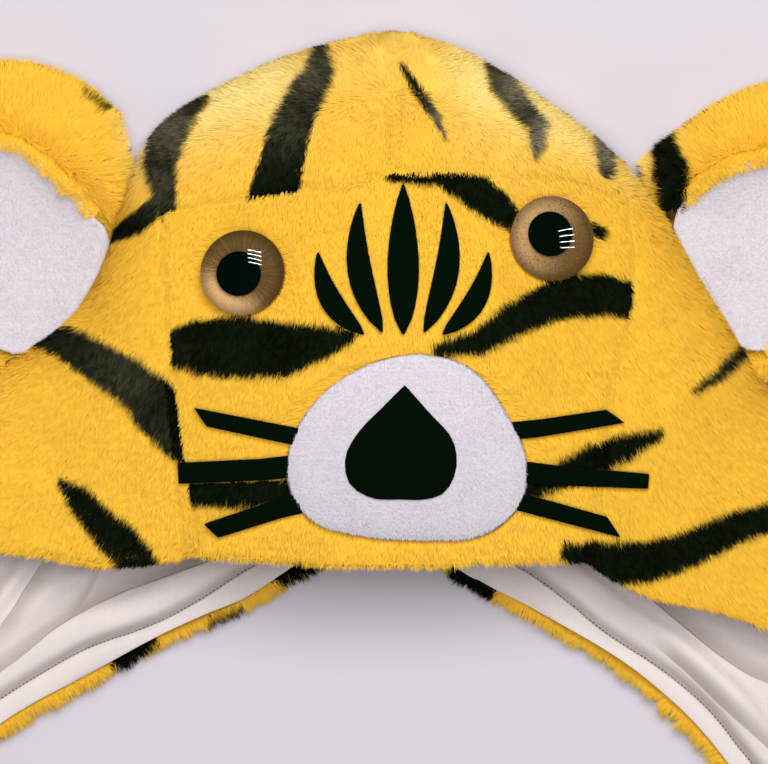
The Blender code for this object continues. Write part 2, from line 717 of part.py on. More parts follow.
def suitSleeve(name, side):
    """A sleeve lying flat as an open tube, from the armhole to the cuff."""
    up = smoothCurve(columns(sleeveRows, sleeveColumns, "upX", "upY"), spanSteps)
    low = smoothCurve(columns(sleeveRows, sleeveColumns, "lowX", "lowY"), spanSteps)
    section = np.array(sleeveSection, float)
    share = section[:, 0][None, :, None]
    height = np.broadcast_to(section[:, 1], (len(up), len(section)))
    outer = np.concatenate([up[:, None] * (1 - share) + low[:, None] * share, height[..., None]], axis=-1)
    share = sleeveInset + (1 - 2 * sleeveInset) * share
    height = sleeveWallBelow + sleeveHollow * height / section[:, 1].max()
    inner = np.concatenate([up[:, None] * (1 - share) + low[:, None] * share, height[..., None]], axis=-1)
    points = np.concatenate([outer.reshape(-1, 3), inner.reshape(-1, 3)]) + (seamGap, 0, 0)
    points *= (side, 1, 1)
    points += (0, suitTop, 0)
    return addObject(name, points, wallFaces(*outer.shape[:2], wrap=True), "plush")


def makeSuit():
    backRows = [(*row[:2], *neck) for row, neck in zip(suitFront, suitBackNeck)] + list(suitFront[4:])
    fronts = []
    for word, side in (("left", -1), ("right", 1)):
        suitPanel(f"suit_back_{word}", backRows, side, backPanelSpans, False)
        fronts.append(suitPanel(f"suit_front_{word}", suitFront, side, frontPanelSpans, True))
        suitSleeve(f"suit_sleeve_{word}", side)
    along = suitTop + placketTop - np.linspace(0, placketLength, 15)
    lines = [np.column_stack([np.full(len(along), place * placketWidth), along]) for place in (-0.5, 0, 0.5)]
    makeStrip("suit_placket", lines, Surface(fronts), 0.6 * plushWall, "plush")


def makeHood():
    left = hoodSections(hoodLeft, -1)
    right = hoodSections(hoodRight, 1)
    plush = [
        makeHoodHalf("hood_left", left[0], left[1], -1),
        makeHoodHalf("hood_right", right[0], right[1], 1),
        makeFacePanel(left, right),
    ]
    makeLining("lining_left", left, -1)
    makeLining("lining_right", right, 1)
    carrier = Surface(plush)
    for side, place in eyes.items():
        makeEye(f"eye_{side}", place, carrier)
    patch = makeDisc("nose_patch", smoothLoop(patchOutline, 40), patchMiddle, carrier, patchThickness, "white_pile", 6)
    makeDisc("nose", smoothLoop(noseOutline, 32), noseMiddle, Surface([patch]), noseThickness, "felt")
    makeWhiskers(carrier)
    makeForehead(carrier)
    makeEar("left", ears["left"], left[2]["out"])
    makeEar("right", ears["right"], right[2]["out"])


def centreOnFloor():
    """Moves the whole costume so that the middle of its box is over the origin."""
    bpy.context.view_layer.update()
    corners = np.array([
        one.matrix_world @ vertex.co for one in costume.children for vertex in one.data.vertices
    ])
    low, high = corners.min(axis=0), corners.max(axis=0)
    costume.location = (-(low[0] + high[0]) / 2, -(low[1] + high[1]) / 2, -low[2])


for old in list(bpy.data.objects):
    bpy.data.objects.remove(old, do_unlink=True)

costume = bpy.data.objects.new("costume", None)
bpy.context.scene.collection.objects.link(costume)

looks = {}
for lookName, (colour, roughness, metallic) in materialLooks.items():
    look = bpy.data.materials.new(lookName)
    look.use_nodes = True
    shader = look.node_tree.nodes["Principled BSDF"]
    shader.inputs["Base Color"].default_value = (*colour, 1)
    shader.inputs["Roughness"].default_value = roughness
    shader.inputs["Metallic"].default_value = metallic
    looks[lookName] = look

makeHood()
makeSuit()
centreOnFloor()
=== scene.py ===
import math

import bpy
import numpy as np
from mathutils import Matrix, Vector
from mathutils.bvhtree import BVHTree


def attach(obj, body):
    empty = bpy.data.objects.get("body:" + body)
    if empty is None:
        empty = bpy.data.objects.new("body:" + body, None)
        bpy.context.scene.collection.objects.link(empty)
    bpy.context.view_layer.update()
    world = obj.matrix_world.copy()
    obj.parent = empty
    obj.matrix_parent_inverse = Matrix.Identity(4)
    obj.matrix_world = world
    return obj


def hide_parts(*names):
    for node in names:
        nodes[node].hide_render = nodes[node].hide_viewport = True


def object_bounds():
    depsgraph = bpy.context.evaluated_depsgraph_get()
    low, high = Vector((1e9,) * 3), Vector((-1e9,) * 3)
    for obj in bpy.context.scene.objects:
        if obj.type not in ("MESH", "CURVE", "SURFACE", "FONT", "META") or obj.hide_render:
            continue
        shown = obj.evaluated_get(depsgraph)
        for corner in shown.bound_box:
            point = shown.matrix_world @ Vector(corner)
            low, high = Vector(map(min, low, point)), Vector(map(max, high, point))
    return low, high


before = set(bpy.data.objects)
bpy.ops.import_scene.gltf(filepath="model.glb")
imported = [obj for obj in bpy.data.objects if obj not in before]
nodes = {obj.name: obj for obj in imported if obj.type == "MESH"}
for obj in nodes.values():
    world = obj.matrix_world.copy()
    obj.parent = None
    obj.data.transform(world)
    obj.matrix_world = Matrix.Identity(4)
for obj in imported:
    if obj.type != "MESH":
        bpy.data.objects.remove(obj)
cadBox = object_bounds()
mm = 0.001
crownReach = 228 * mm  # from the brim's middle to the crown
brimMiddle = np.array([0.0, cadBox[1][1] - crownReach, 0.0])
print("frame loaded, brim's middle at", brimMiddle.round(4))


def inMm(points):  # from metres in the frame to millimetres from the brim's middle
    return (points - brimMiddle) / mm


def fromBrim(x, y, z):  # and back
    return brimMiddle + np.array([x, y, z]) * mm


# Camera and light

view = {"aim": (-4.7, 75.7), "width": 330.2, "distance": 6000, "level": 30, "sensor": 36}  # mm
lamps = {
    "window": {"at": (250, 800, 1500), "size": (1000, 700), "power": 19, "colour": (1.0, 0.985, 0.97)},
    "ceiling": {"at": (-150, 100, 1900), "size": (900, 900), "power": 21, "colour": (0.98, 0.975, 1.0)},
}
room = {"colour": (0.93, 0.92, 0.97), "strength": 0.30}
blinds = {"away": 1000, "count": 4, "power": 0.5}  # mirrored by the eyes


def addObject(name, data):
    made = bpy.data.objects.new(name, data)
    bpy.context.scene.collection.objects.link(made)
    return made


def addLamp(name, at, size, power, colour=(1, 1, 1)):
    light = bpy.data.lights.new(name, "AREA")
    light.shape = "RECTANGLE"
    light.size, light.size_y = size[0] * mm, size[1] * mm
    light.energy = power
    light.color = colour
    lamp = addObject(name, light)
    lamp.location = fromBrim(*at)
    return lamp


lens = bpy.data.cameras.new("camera")
lens.sensor_width = view["sensor"]
lens.lens = view["sensor"] * view["distance"] / view["width"]
lens.clip_end = 30
camera = addObject("camera", lens)
camera.location = fromBrim(*view["aim"], view["level"] + view["distance"])
bpy.context.scene.camera = camera

hoodMiddle = Vector(fromBrim(0, 90, 0))
for name, lamp in lamps.items():
    made = addLamp(name, **lamp)
    made.rotation_euler = (hoodMiddle - made.location).to_track_quat("-Z", "Y").to_euler()
    made.visible_glossy = False

world = bpy.data.worlds.new("room")
bpy.context.scene.world = world
world.use_nodes = True
background = world.node_tree.nodes["Background"].inputs
background["Color"].default_value = (*room["colour"], 1)
background["Strength"].default_value = room["strength"]
world.cycles_visibility.glossy = False
bpy.context.scene.view_settings.view_transform = "Standard"
print("camera and lamps set")


# Shader maths as expressions

class Wire:  # one output socket of a material
    def __init__(self, finish, socket):
        self.finish, self.socket = finish, socket

    def maths(self, operation, *others):
        return self.finish.node("ShaderNodeMath", {"operation": operation}, dict(enumerate((self, *others))))

    def __add__(self, other):
        return self.maths("ADD", other)

    def __sub__(self, other):
        return self.maths("SUBTRACT", other)

    def __mul__(self, other):
        return self.maths("MULTIPLY", other)

    def __rsub__(self, other):
        return self.finish.node("ShaderNodeMath", {"operation": "SUBTRACT"}, {0: other, 1: self})

    __radd__ = __add__
    __rmul__ = __mul__

    def sine(self):
        return self.maths("SINE")

    def clamped(self):
        return self.finish.node("ShaderNodeClamp", {}, {"Value": self})

    def between(self, low, high):  # 0 up to low, 1 from high
        ends = {"Value": self, "From Min": low, "From Max": high}
        return self.finish.node("ShaderNodeMapRange", {"interpolation_type": "SMOOTHSTEP"}, ends)


class Finish:  # a material being made
    def __init__(self, name, **surface):
        self.material = bpy.data.materials.new(name)
        self.material.use_nodes = True
        self.tree = self.material.node_tree
        self.shader = self.tree.nodes["Principled BSDF"]
        for key, value in surface.items():
            self.set({key.replace("_", " ").title().replace("Ior", "IOR"): value})

    def put(self, socket, value):
        if isinstance(value, Wire):
            self.tree.links.new(value.socket, socket)
        elif isinstance(value, tuple) and len(value) == 3 and socket.type == "RGBA":
            socket.default_value = (*value, 1)
        else:
            socket.default_value = value

    def set(self, sockets):
        for name, value in sockets.items():
            self.put(self.shader.inputs[name], value)

    def node(self, kind, settings, sockets, output=0):
        made = self.tree.nodes.new(kind)
        for key, value in settings.items():
            setattr(made, key, value)
        for key, value in sockets.items():
            self.put(made.inputs[key], value)
        return Wire(self, made.outputs[output])

    def mix(self, factor, first, second):
        return self.node("ShaderNodeMix", {"data_type": "RGBA"}, {0: factor, 6: first, 7: second}, 2)

    def vector(self, operation, *values, output="Vector"):
        return self.node("ShaderNodeVectorMath", {"operation": operation}, dict(enumerate(values)), output)

    def lightened(self, value, colour):
        return self.node("ShaderNodeHueSaturation", {}, {"Value": value, "Color": colour})

    def place(self):
        return self.node("ShaderNodeTexCoord", {}, {}, "Object")

    def noise(self, scale, detail=3.0):
        return self.node("ShaderNodeTexNoise", {}, {"Vector": self.place(), "Scale": scale, "Detail": detail})

    def axes(self):
        split = self.tree.nodes.new("ShaderNodeSeparateXYZ")
        self.tree.links.new(self.place().socket, split.inputs[0])
        return [Wire(self, socket) for socket in split.outputs]

    def carried(self, name):  # the four values that each point of the cloth carries under this name
        source = self.tree.nodes.new("ShaderNodeAttribute")
        source.attribute_name = name
        parts = self.tree.nodes.new("ShaderNodeSeparateColor")
        self.tree.links.new(source.outputs["Color"], parts.inputs[0])
        return [Wire(self, socket) for socket in (*parts.outputs, source.outputs["Alpha"])]

    def bump(self, height, distance):
        sockets = {"Height": height, "Distance": distance, "Strength": 1.0}
        self.set({"Normal": self.node("ShaderNodeBump", {}, sockets)})


plushLook = {
    "root": (0.86, 0.46, 0.028),
    "tip": (0.89, 0.57, 0.060),
    # pale: the painted light on the crown's upper edge; stripePale: the painted sheen on the dark stripes
    "pale": (0.95, 0.76, 0.26),
    "stripeRoot": (0.002, 0.0035, 0.001),
    "stripeTip": (0.010, 0.017, 0.006),
    "stripePale": (0.36, 0.31, 0.19),
}


def plushFinish(name, shade):
    finish = Finish(name, roughness=0.8, sheen_weight=0.02, sheen_roughness=0.5, specular_ior_level=0.06)
    stripe, tone, tip, pale = finish.carried("pile")
    # the fourth value carries painted light: the yellow is painted paler and the dark stripes greyer there;
    # the stripes' frosted tips are their own
    yellow = finish.mix(pale, finish.mix(tip, plushLook["root"], plushLook["tip"]), plushLook["pale"])
    frostAndSheen = (tip * (2.6 * tone - 0.8 + pale)).clamped()
    stripeTipAndSheen = finish.mix(pale, plushLook["stripeTip"], plushLook["stripePale"])
    dark = finish.mix(frostAndSheen, plushLook["stripeRoot"], stripeTipAndSheen)
    colour = finish.lightened((0.8 + 0.4 * tone) * shade, finish.mix(stripe, yellow, dark))
    finish.set({"Base Color": colour})
    return finish


pileFinish = plushFinish("plush_pile", 1.0).material
backing = plushFinish("plush_backing", 0.85)
backing.bump(backing.noise(900) + 0.6 * backing.noise(260), 0.0012)
backingFinish = backing.material

whiteLook = {"root": (0.63, 0.585, 0.625), "tip": (0.655, 0.61, 0.65)}
whitePile = Finish("white_pile", roughness=0.8, sheen_weight=0.2, specular_ior_level=0.15)
_, tone, tip, _ = whitePile.carried("pile")
fleece = whitePile.mix(tip, whiteLook["root"], whiteLook["tip"])
whitePile.set({"Base Color": whitePile.lightened(0.9 + 0.2 * tone, fleece)})
whitePileFinish = whitePile.material

whiteCloth = Finish("white_backing", base_color=whiteLook["root"], roughness=0.85, sheen_weight=0.3,
                    specular_ior_level=0.1)
whiteCloth.bump(whiteCloth.noise(1100) + 0.5 * whiteCloth.noise(300), 0.0006)
whiteFinish = whiteCloth.material

knitLook = {
    "colour": (0.73, 0.655, 0.63),
    "shade": (0.60, 0.54, 0.52),
    # deep: the colour of the painted shade in the hem's groove and in the folds
    "deep": (0.24, 0.185, 0.155),
    "wale": 1.0,
    "course": 0.9,
    "foldNear": (1.0, 0.9, 0.9, 1.6),  # mm that the painted shade of the hem's groove and of each fold reaches on its two sides
    "foldFar": (5.5, 10.0, 8.0, 4.0),
}
knit = Finish("lining_knit", roughness=0.8, sheen_weight=0.25, specular_ior_level=0.2)
acrossKnit, alongKnit, _ = knit.axes()
wales = (acrossKnit * (math.tau / (knitLook["wale"] * mm))).sine()
courses = (alongKnit * (math.tau / (knitLook["course"] * mm)) + wales).sine()
loops = 0.5 + 0.25 * wales + 0.25 * courses
knitColour = knit.mix(loops * 0.7 + 0.5 * knit.noise(60), knitLook["shade"], knitLook["colour"])
foldShade = 0.0
foldValues = (knit.carried("folds"), knit.carried("foldShare"), knitLook["foldNear"], knitLook["foldFar"])
for away, share, near, far in zip(*foldValues):
    foldShade = foldShade + (1 - away.between(0, far)) * away.between(-near, 0) * share
foldShade = foldShade.clamped()
# painted shade: the hem's groove and the folds are painted darker, and the same values sink the bump
knit.set({"Base Color": knit.mix(foldShade, knitColour, knitLook["deep"])})
knit.bump(0.00012 * loops + 0.00005 * knit.noise(1500) - 0.0012 * foldShade, 1.0)
knitFinish = knit.material

feltLook = {"dark": (0.0002, 0.0025, 0.0005), "light": (0.0012, 0.0075, 0.0025)}
felt = Finish("black_felt", roughness=0.95, sheen_weight=0.01, sheen_roughness=0.6, specular_ior_level=0.03)
fibres = felt.noise(1800, 6.0)
feltTone = fibres * 1.1 + felt.noise(160) * 0.3 - 0.35
felt.set({"Base Color": felt.mix(feltTone, feltLook["dark"], feltLook["light"])})
felt.bump(fibres + 0.5 * felt.noise(500), 0.0005)
feltFinish = felt.material

threadFinish = Finish("hem_thread", base_color=(0.07, 0.055, 0.045), roughness=0.7).material
print("cloth finishes made")


# Cloth on the CAD form

carriedKinds = {1: ("FLOAT", "value"), 3: ("FLOAT_VECTOR", "vector"), 4: ("FLOAT_COLOR", "color")}


def readAll(source, field, size, kind=np.float32):
    values = np.empty(len(source) * size, kind)
    source.foreach_get(field, values)
    return values.reshape(-1, size)


def arrays(mesh):  # points, their smooth normals, and triangles, in metres
    mesh.calc_loop_triangles()
    points = readAll(mesh.vertices, "co", 3).astype(float)
    normals = readAll(mesh.vertices, "normal", 3).astype(float)
    return points, normals, readAll(mesh.loop_triangles, "vertices", 3, np.int32)


def carry(mesh, name, values):  # each point of the mesh carries its values under this name
    kind, field = carriedKinds[values.shape[-1] if values.ndim > 1 else 1]
    layer = mesh.attributes.get(name) or mesh.attributes.new(name, kind, "POINT")
    layer.data.foreach_set(field, values.astype(np.float32).ravel())


def setPoints(mesh, points):
    mesh.vertices.foreach_set("co", points.astype(np.float32).ravel())
    mesh.update()


def sizes(vectors):
    return np.linalg.norm(vectors, axis=1)


def unit(vectors):
    return vectors / np.maximum(np.linalg.norm(vectors, axis=-1, keepdims=True), 1e-9)


def crossOf(corners):
    return np.cross(corners[:, 1] - corners[:, 0], corners[:, 2] - corners[:, 0])


def treeOf(meshes):
    points = []
    triangles = []
    for mesh in meshes:
        meshPoints, _, meshTriangles = arrays(mesh)
        triangles.append(meshTriangles + sum(len(part) for part in points))
        points.append(meshPoints)
    return BVHTree.FromPolygons(np.vstack(points).tolist(), np.vstack(triangles).tolist())


everything = treeOf([node.data for node in nodes.values()])
eyeShift = {"eye_left": (1.3, -0.45, 0), "eye_right": (-1.5, -1.1, 0)}  # mm, from the solid to the seen eye
plan = {"step": 0.5 * mm, "low": fromBrim(-266, -166, 0)[:2], "high": fromBrim(266, 240, 0)[:2]}
onTop = ("nose_patch", "nose", "eye_", "whisker_", "forehead_", "ear_inner_")


def drawPlan():  # the hood seen from above: height of the top, and whether a piece set on the pile is there
    shape = np.ceil((plan["high"] - plan["low"]) / plan["step"]).astype(int) + 1
    height = np.zeros(shape)
    owner = np.zeros(shape, bool)
    for name, node in nodes.items():
        if name.startswith("suit"):
            continue
        points, _, triangles = arrays(cloth[name].data if name in cloth else node.data)
        points += np.array(eyeShift.get(name, (0, 0, 0))) * mm
        for a, b, c in points[triangles]:
            cross = (b[0] - a[0]) * (c[1] - a[1]) - (b[1] - a[1]) * (c[0] - a[0])
            if abs(cross) < 1e-9:
                continue
            corners = (np.stack([a, b, c])[:, :2] - plan["low"]) / plan["step"]
            first = np.floor(corners.min(axis=0)).astype(int)
            last = np.ceil(corners.max(axis=0)).astype(int) + 1
            x = plan["low"][0] + plan["step"] * np.arange(first[0], last[0])[:, None] - a[0]
            y = plan["low"][1] + plan["step"] * np.arange(first[1], last[1])[None] - a[1]
            u = (x * (c[1] - a[1]) - y * (c[0] - a[0])) / cross
            v = (y * (b[0] - a[0]) - x * (b[1] - a[1])) / cross
            z = a[2] + u * (b[2] - a[2]) + v * (c[2] - a[2])
            place = (slice(first[0], last[0]), slice(first[1], last[1]))
            seen = (u >= 0) & (v >= 0) & (u + v <= 1) & (z > height[place])
            height[place][seen] = z[seen]
            owner[place][seen] = name.startswith(onTop)
    return height, owner


def planAt(points):  # height of the top over each point, and whether a piece set on the pile is there
    cell = np.rint((points[:, :2] - plan["low"]) / plan["step"]).astype(int)
    inside = ((cell >= 0) & (cell < planHeight.shape)).all(axis=1)
    x, y = np.clip(cell, 0, np.array(planHeight.shape) - 1).T
    return np.where(inside, planHeight[x, y], 0), inside & planCovered[x, y]


def hits(tree, points, normals, start, reach):  # distance to what lies over each point, 9 for nothing
    away = np.full(len(points), 9.0)
    for i, (point, normal) in enumerate(zip(points, normals)):
        found = tree.ray_cast(Vector(point) + Vector(normal) * start, normal, reach)[3]
        if found is not None:
            away[i] = found + start
    return away


seamGap = {"least": 1e-6, "most": 0.0014}  # metres between two pieces that are sewn together


def seamOf(points, name):  # which points lie at a neighbour's edge, and the way to it
    group = name.startswith("suit")
    others = treeOf([node.data for other, node in nodes.items()
                     if other != name and other.startswith("suit") == group and not other.startswith(onTop)])
    flag = np.zeros(len(points))
    toward = np.zeros((len(points), 3))
    for i, point in enumerate(points):
        near, _, _, away = others.find_nearest(Vector(point), seamGap["most"])
        if near is not None and away > seamGap["least"]:
            flag[i] = 1
            toward[i] = (np.array(near) - point) / away
    return flag, toward


patchMiddle = (5, 46)
earTrim = {  # mm, the ears are flatter on the crown's side
    "ear_back_left": {"at": (-138, 206), "reach": 46, "depth": 2.9, "middle": (-172, 134)},
    "ear_back_right": {"at": (116, 188), "reach": 42, "depth": 5.5, "middle": (170, 131)},
}
earRim = {"from": 38, "wide": 12}  # mm from the ear's middle
earJoin = {"ear_back": (0.017, 0.001), "ear_inner": (0.011, 0.0015)}  # metres an edge is drawn and overlaps
earLook = {"far": 0.03, "full": 0.55}
whiskerRoot = {"from": 0.8, "over": 0.15, "draw": 4 * mm}


def earForm(points, name):  # flatter on the crown's side, and its edge drawn out to the hood beside it
    trim = earTrim.get(name)
    if trim:
        place = inMm(points)[:, :2]
        share = np.exp(-(((place - trim["at"]) / trim["reach"]) ** 2).sum(axis=1))
        away = sizes(place - trim["middle"])
        out = np.clip((away - earRim["from"]) / earRim["wide"], 0, 1)
        points[:, :2] += unit(trim["middle"] - place) * (trim["depth"] * share * out)[:, None] * mm
    part, side = name.rsplit("_", 1)
    reach, overlap = earJoin[part]
    full = earLook["full"] * reach
    hood = treeOf([nodes[f"hood_{side}"].data])
    for i, point in enumerate(points):
        near, _, _, _ = hood.find_nearest(Vector(point), earLook["far"])
        if near is None:
            continue
        way = np.array(near)[:2] - point[:2]
        away = np.hypot(*way)
        share = np.clip((reach - away) / (reach - full), 0, 1)
        if away > 1e-6:
            points[i, :2] += way / away * share * (min(away, full) + overlap)
    return points


def whiskerForm(points, _):  # draws a whisker's root in under the patch
    away = sizes(inMm(points)[:, :2] - patchMiddle)
    root, tip = points[away.argmin()], points[away.argmax()]
    run = (root - tip)[:2]
    share = (points - tip)[:, :2] @ run / (run @ run)
    drawn = np.clip((share[:, None] - whiskerRoot["from"]) / whiskerRoot["over"], 0, 1)
    points[:, :2] += unit(run) * drawn * whiskerRoot["draw"]
    return points


forms = {"ear": earForm, "whisker": whiskerForm}


def mode(kind):
    bpy.ops.object.mode_set(mode=kind)


def pick(thing):  # only this one is selected
    bpy.ops.object.select_all(action="DESELECT")
    thing.select_set(True)
    bpy.context.view_layer.objects.active = thing


def soften(thing, kind, **settings):  # one modifier, applied
    soft = thing.modifiers.new("soft", kind)
    for key, value in settings.items():
        setattr(soft, key, value)
    bpy.ops.object.modifier_apply(modifier=soft.name)


sewing = {
    "merge": 0.00002,
    "flat": math.radians(50),  # two triangles less bent than this become one face
    "square": math.radians(60),
    "sharp": math.radians(38),
    "faceUp": 0.25,
    "hollow": 0.008,  # an inside face has cloth this far over it
    "gap": (0.0001, 0.09),
    "leastSize": 0.25,
    "seamDraw": 0.0004,
}


def insideOf(mesh):  # which faces look into the costume
    middles = np.array([face.center for face in mesh.polygons])
    facing = np.array([face.normal for face in mesh.polygons])
    above, _ = planAt(middles)
    inside = (facing[:, 2] > sewing["faceUp"]) & (above - middles[:, 2] > sewing["hollow"])
    down = facing[:, 2] < -sewing["faceUp"]
    inside[down] = hits(everything, middles[down], facing[down], *sewing["gap"]) < 1
    return inside


def shrinkOutside(mesh, node, depth):  # room for the pile, but the seams stay closed
    points, normals, _ = arrays(mesh)
    flag, toward = seamOf(points, node)
    outside = np.zeros(len(points), bool)
    for face in mesh.polygons:
        if face.material_index == 0:
            outside[list(face.vertices)] = True
    top = normals - (normals * toward).sum(axis=1, keepdims=True) * toward
    size = np.linalg.norm(top, axis=1, keepdims=True)
    top = np.where(size > sewing["leastSize"], top / np.maximum(size, sewing["leastSize"]), 0)
    points -= np.where(outside[:, None], top, 0) * depth
    points += toward * sewing["seamDraw"]
    setPoints(mesh, points)
    carry(mesh, "seam", flag)
    carry(mesh, "toward", toward)


def makeCloth(name, node, finishes, levels=1, shrink=0.0, crease=0.0):
    made = addObject(name, nodes[node].data.copy())
    mesh = made.data
    pick(made)
    mode("EDIT")
    bpy.ops.mesh.select_all(action="SELECT")
    bpy.ops.mesh.remove_doubles(threshold=sewing["merge"])
    bpy.ops.mesh.tris_convert_to_quads(face_threshold=sewing["flat"], shape_threshold=sewing["square"])
    if crease:  # the wall's edges keep their place
        bpy.ops.mesh.select_all(action="DESELECT")
        bpy.ops.mesh.edges_select_sharp(sharpness=sewing["sharp"])
        bpy.ops.transform.edge_crease(value=crease)
    mode("OBJECT")
    soften(made, "SUBSURF", levels=levels, render_levels=levels)
    mesh.materials.clear()
    for finish in finishes:
        mesh.materials.append(finish)
    if knitFinish in finishes:  # no fold until the lining's are drawn
        carry(mesh, "folds", np.zeros((len(mesh.vertices), 4)))
        carry(mesh, "foldShare", np.zeros((len(mesh.vertices), 4)))
    form = forms.get(node.split("_")[0])
    if form:
        setPoints(mesh, form(arrays(mesh)[0], node))
    if len(finishes) > 1:  # the second finish goes on the inside
        mesh.polygons.foreach_set("material_index", insideOf(mesh).astype(np.int32))
    if shrink:
        shrinkOutside(mesh, node, shrink)
    bpy.ops.object.shade_smooth()
    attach(made, "root")
    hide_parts(node)
    cloth[node] = made


cloth = {}
whitePieces = ("ear_inner_left", "ear_inner_right", "nose_patch")
for node in whitePieces:
    makeCloth(f"{node}_cloth", node, (whiteFinish,))
planHeight, planCovered = drawPlan()
print("plan drawn")


# Stripes: each band has points in mm from the brim's middle, with half its width there

stripes = {
    "hood": (
        ((-53, -8, 3), (-46, -8, 6), (-37, -5, 6)),
        ((-117, -46, 5), (-106, -38, 4)),
        ((-78, -31, 2.5), (-66, -25, 2.5)),
        ((26, -10, 5), (37, -15, 6)),
        ((-82, 198, 1.5), (-91, 192, 6), (-99, 182, 8.5), (-102, 169, 7.5), (-100, 157, 5.5),
         (-98.5, 148, 4.5)),
        ((-99, 154, 4), (-110, 144, 5), (-124, 137, 3)),
        ((-33, 220, 3.5), (-34, 208, 7), (-42, 194, 8.5), (-46, 182, 9.5), (-49, 169, 9.5), (-53, 150, 11.5)),
        ((3, 212, 1.2), (12.5, 198, 2.8), (18.5, 187.5, 2.2), (22, 179, 0.6)),
        ((41, 212, 2), (47, 205, 6), (54, 195, 5.5), (62.5, 186, 4.5), (62.5, 177.5, 3.4), (61, 171, 1)),
        ((88, 181, 2), (91.5, 175, 4.3), (92.5, 166, 3.6)),
        ((-160, 97, 4), (-142, 91.5, 7), (-127, 83, 9), (-110, 71.5, 10), (-99, 61, 13), (-91, 50, 10)),
        ((-143, 31, 2), (-136, 24.5, 6), (-127, 14, 7), (-117, 4, 9), (-109, -6, 8)),
        ((129, 70.5, 1), (140, 77.5, 3.2), (154, 91, 2.6)),
        ((70, 4, 4), (80, -1, 8), (92, -3, 9), (108, -3, 9), (127, 3, 8), (144, 11, 7.3), (160, 16, 6.5),
         (186, 27, 5), (200, 34, 2)),
        ((84, 41, 7), (99, 46.5, 6), (114, 52.5, 2.5)),
        ((-238, 6, 2), (-222, -4, 6), (-206, -14, 7)),
        ((-250, -50, 7), (-236, -54, 6), (-219, -62, 2)),
        ((236, -46, 3), (222, -52, 7), (206, -64, 6)),
        ((240, -100, 6), (226, -104, 6), (210, -114, 3)),
    ),
    "face": (
        ((-98, 89, 8), (-84, 89.5, 12), (-67, 89.5, 13.5), (-49.5, 88.5, 12), (-32, 91.5, 7.5), (-20, 94, 3)),
        ((19, 88.5, 3), (36.5, 91.5, 5.5), (51.5, 101.5, 7.5), (69, 110, 9), (88, 112.5, 9.5), (104, 109, 8)),
        ((-2, 163, 2.5), (20, 163, 4.5), (36, 155.5, 8), (46, 148, 6.5), (53, 141, 3)),
        ((83, 143.5, 1), (89.5, 139, 2.8)),
        ((-90, 27, 5.5), (-67, 27, 6.8), (-44, 28, 5)),
        ((56, 28, 4), (72, 34.5, 6), (86, 41.5, 7)),
        ((76, 1, 5), (92, -2, 7)),
    ),
    "earLeft": (((-133.5, 202.5, 0.9), (-123, 194.5, 1.7)),),
    "earRight": (((114, 182, 5), (117.5, 167, 8.5), (119, 152, 7)),),
}

suitStripes = {
    "shoulder": -186.0,  # mm from the brim's middle to the suit's neck
    "first": -96,
    "step": 74,
    "count": 11,
    "halfWidth": 13,
    "sleeveStart": (160, -95),
    "sleeveEnd": (345, -275),
    "sleeveCount": 5,
}


def suitBands():
    made = []
    top = suitStripes["shoulder"]
    wide = suitStripes["halfWidth"]
    start, end = np.array(suitStripes["sleeveStart"]), np.array(suitStripes["sleeveEnd"])
    run = unit(end - start)
    across = np.array([-run[1], run[0]])
    for side in (-1, 1):
        for k in range(suitStripes["count"]):
            y = top + suitStripes["first"] - k * suitStripes["step"]
            slope = 9 * math.sin(2.1 * k + side)
            size = wide * (0.85 + 0.2 * math.sin(1.7 * k + 2 * side))
            reach = 70 + 26 * math.cos(1.3 * k + side)
            made.append((
                (side * 188, y + slope, size), (side * 150, y + 6, size),
                (side * 118, y - 3 - slope / 2, size * 0.8),
                (side * (reach + 8), y + 4, size * 0.45), (side * reach, y + 9, 1),
            ))
            if k % 2 == (side + 1) // 2:
                continue
            inner = 20 if k < 6 else 40 + 3 * k
            made.append((
                (side * (inner - 30), y - 36, size * 0.8),
                (side * (inner + 8), y - 32 + slope / 2, size * 0.65), (side * (inner + 40), y - 38, 1.5),
            ))
        for k in range(suitStripes["sleeveCount"]):
            middle = start + (end - start) * (k + 0.45) / suitStripes["sleeveCount"]
            size = wide * (0.7 + 0.15 * math.sin(2.3 * k))
            flip = -1 if k % 2 else 1
            band = []
            for off, lean, half in ((70, -4, size), (36, 5, size), (4, 2, size * 0.7), (-26, 8, 1.2)):
                spot = middle + flip * off * across + lean * run
                band.append((side * spot[0], top + spot[1], half))
            made.append(band)
    return made


stripes["suit"] = suitBands()


def smoothed(line):  # the same line with its corners cut
    line = np.array(line, float)
    for _ in range(3):
        cut = np.stack([0.75 * line[:-1] + 0.25 * line[1:], 0.25 * line[:-1] + 0.75 * line[1:]], axis=1)
        line = np.vstack([line[:1], cut.reshape(-1, 2)[1:-1], line[-1:]])
    return line


def lengthsOf(line):  # how far along the line each of its points lies
    return np.concatenate([[0], np.cumsum(sizes(np.diff(line, axis=0)))])


def pointsOn(line, along, place):
    return np.stack([np.interp(place, along, line[:, k]) for k in (0, 1)], axis=1)


def softNoise(points, size, seed):  # gentle values about 0, one every size mm or so
    dice = np.random.default_rng(seed)
    total = np.zeros(len(points))
    for _ in range(6):
        aim = unit(dice.normal(size=(1, 3)))[0] * (0.7 + 0.6 * dice.random()) * math.tau / (size * mm)
        total += np.sin(points @ aim + dice.random() * math.tau)
    return total / 6


def softWay(points, size, seeds):  # three such values as a direction
    return np.stack([softNoise(points, size, seed) for seed in seeds], axis=1)


def toRun(x, y, start, end):  # how far along a straight run each point lies, from 0 to 1, and how far off it
    runX, runY = end[0] - start[0], end[1] - start[1]
    share = np.clip(((x - start[0]) * runX + (y - start[1]) * runY) / (runX**2 + runY**2), 0, 1)
    return share, np.hypot(x - start[0] - share * runX, y - start[1] - share * runY)


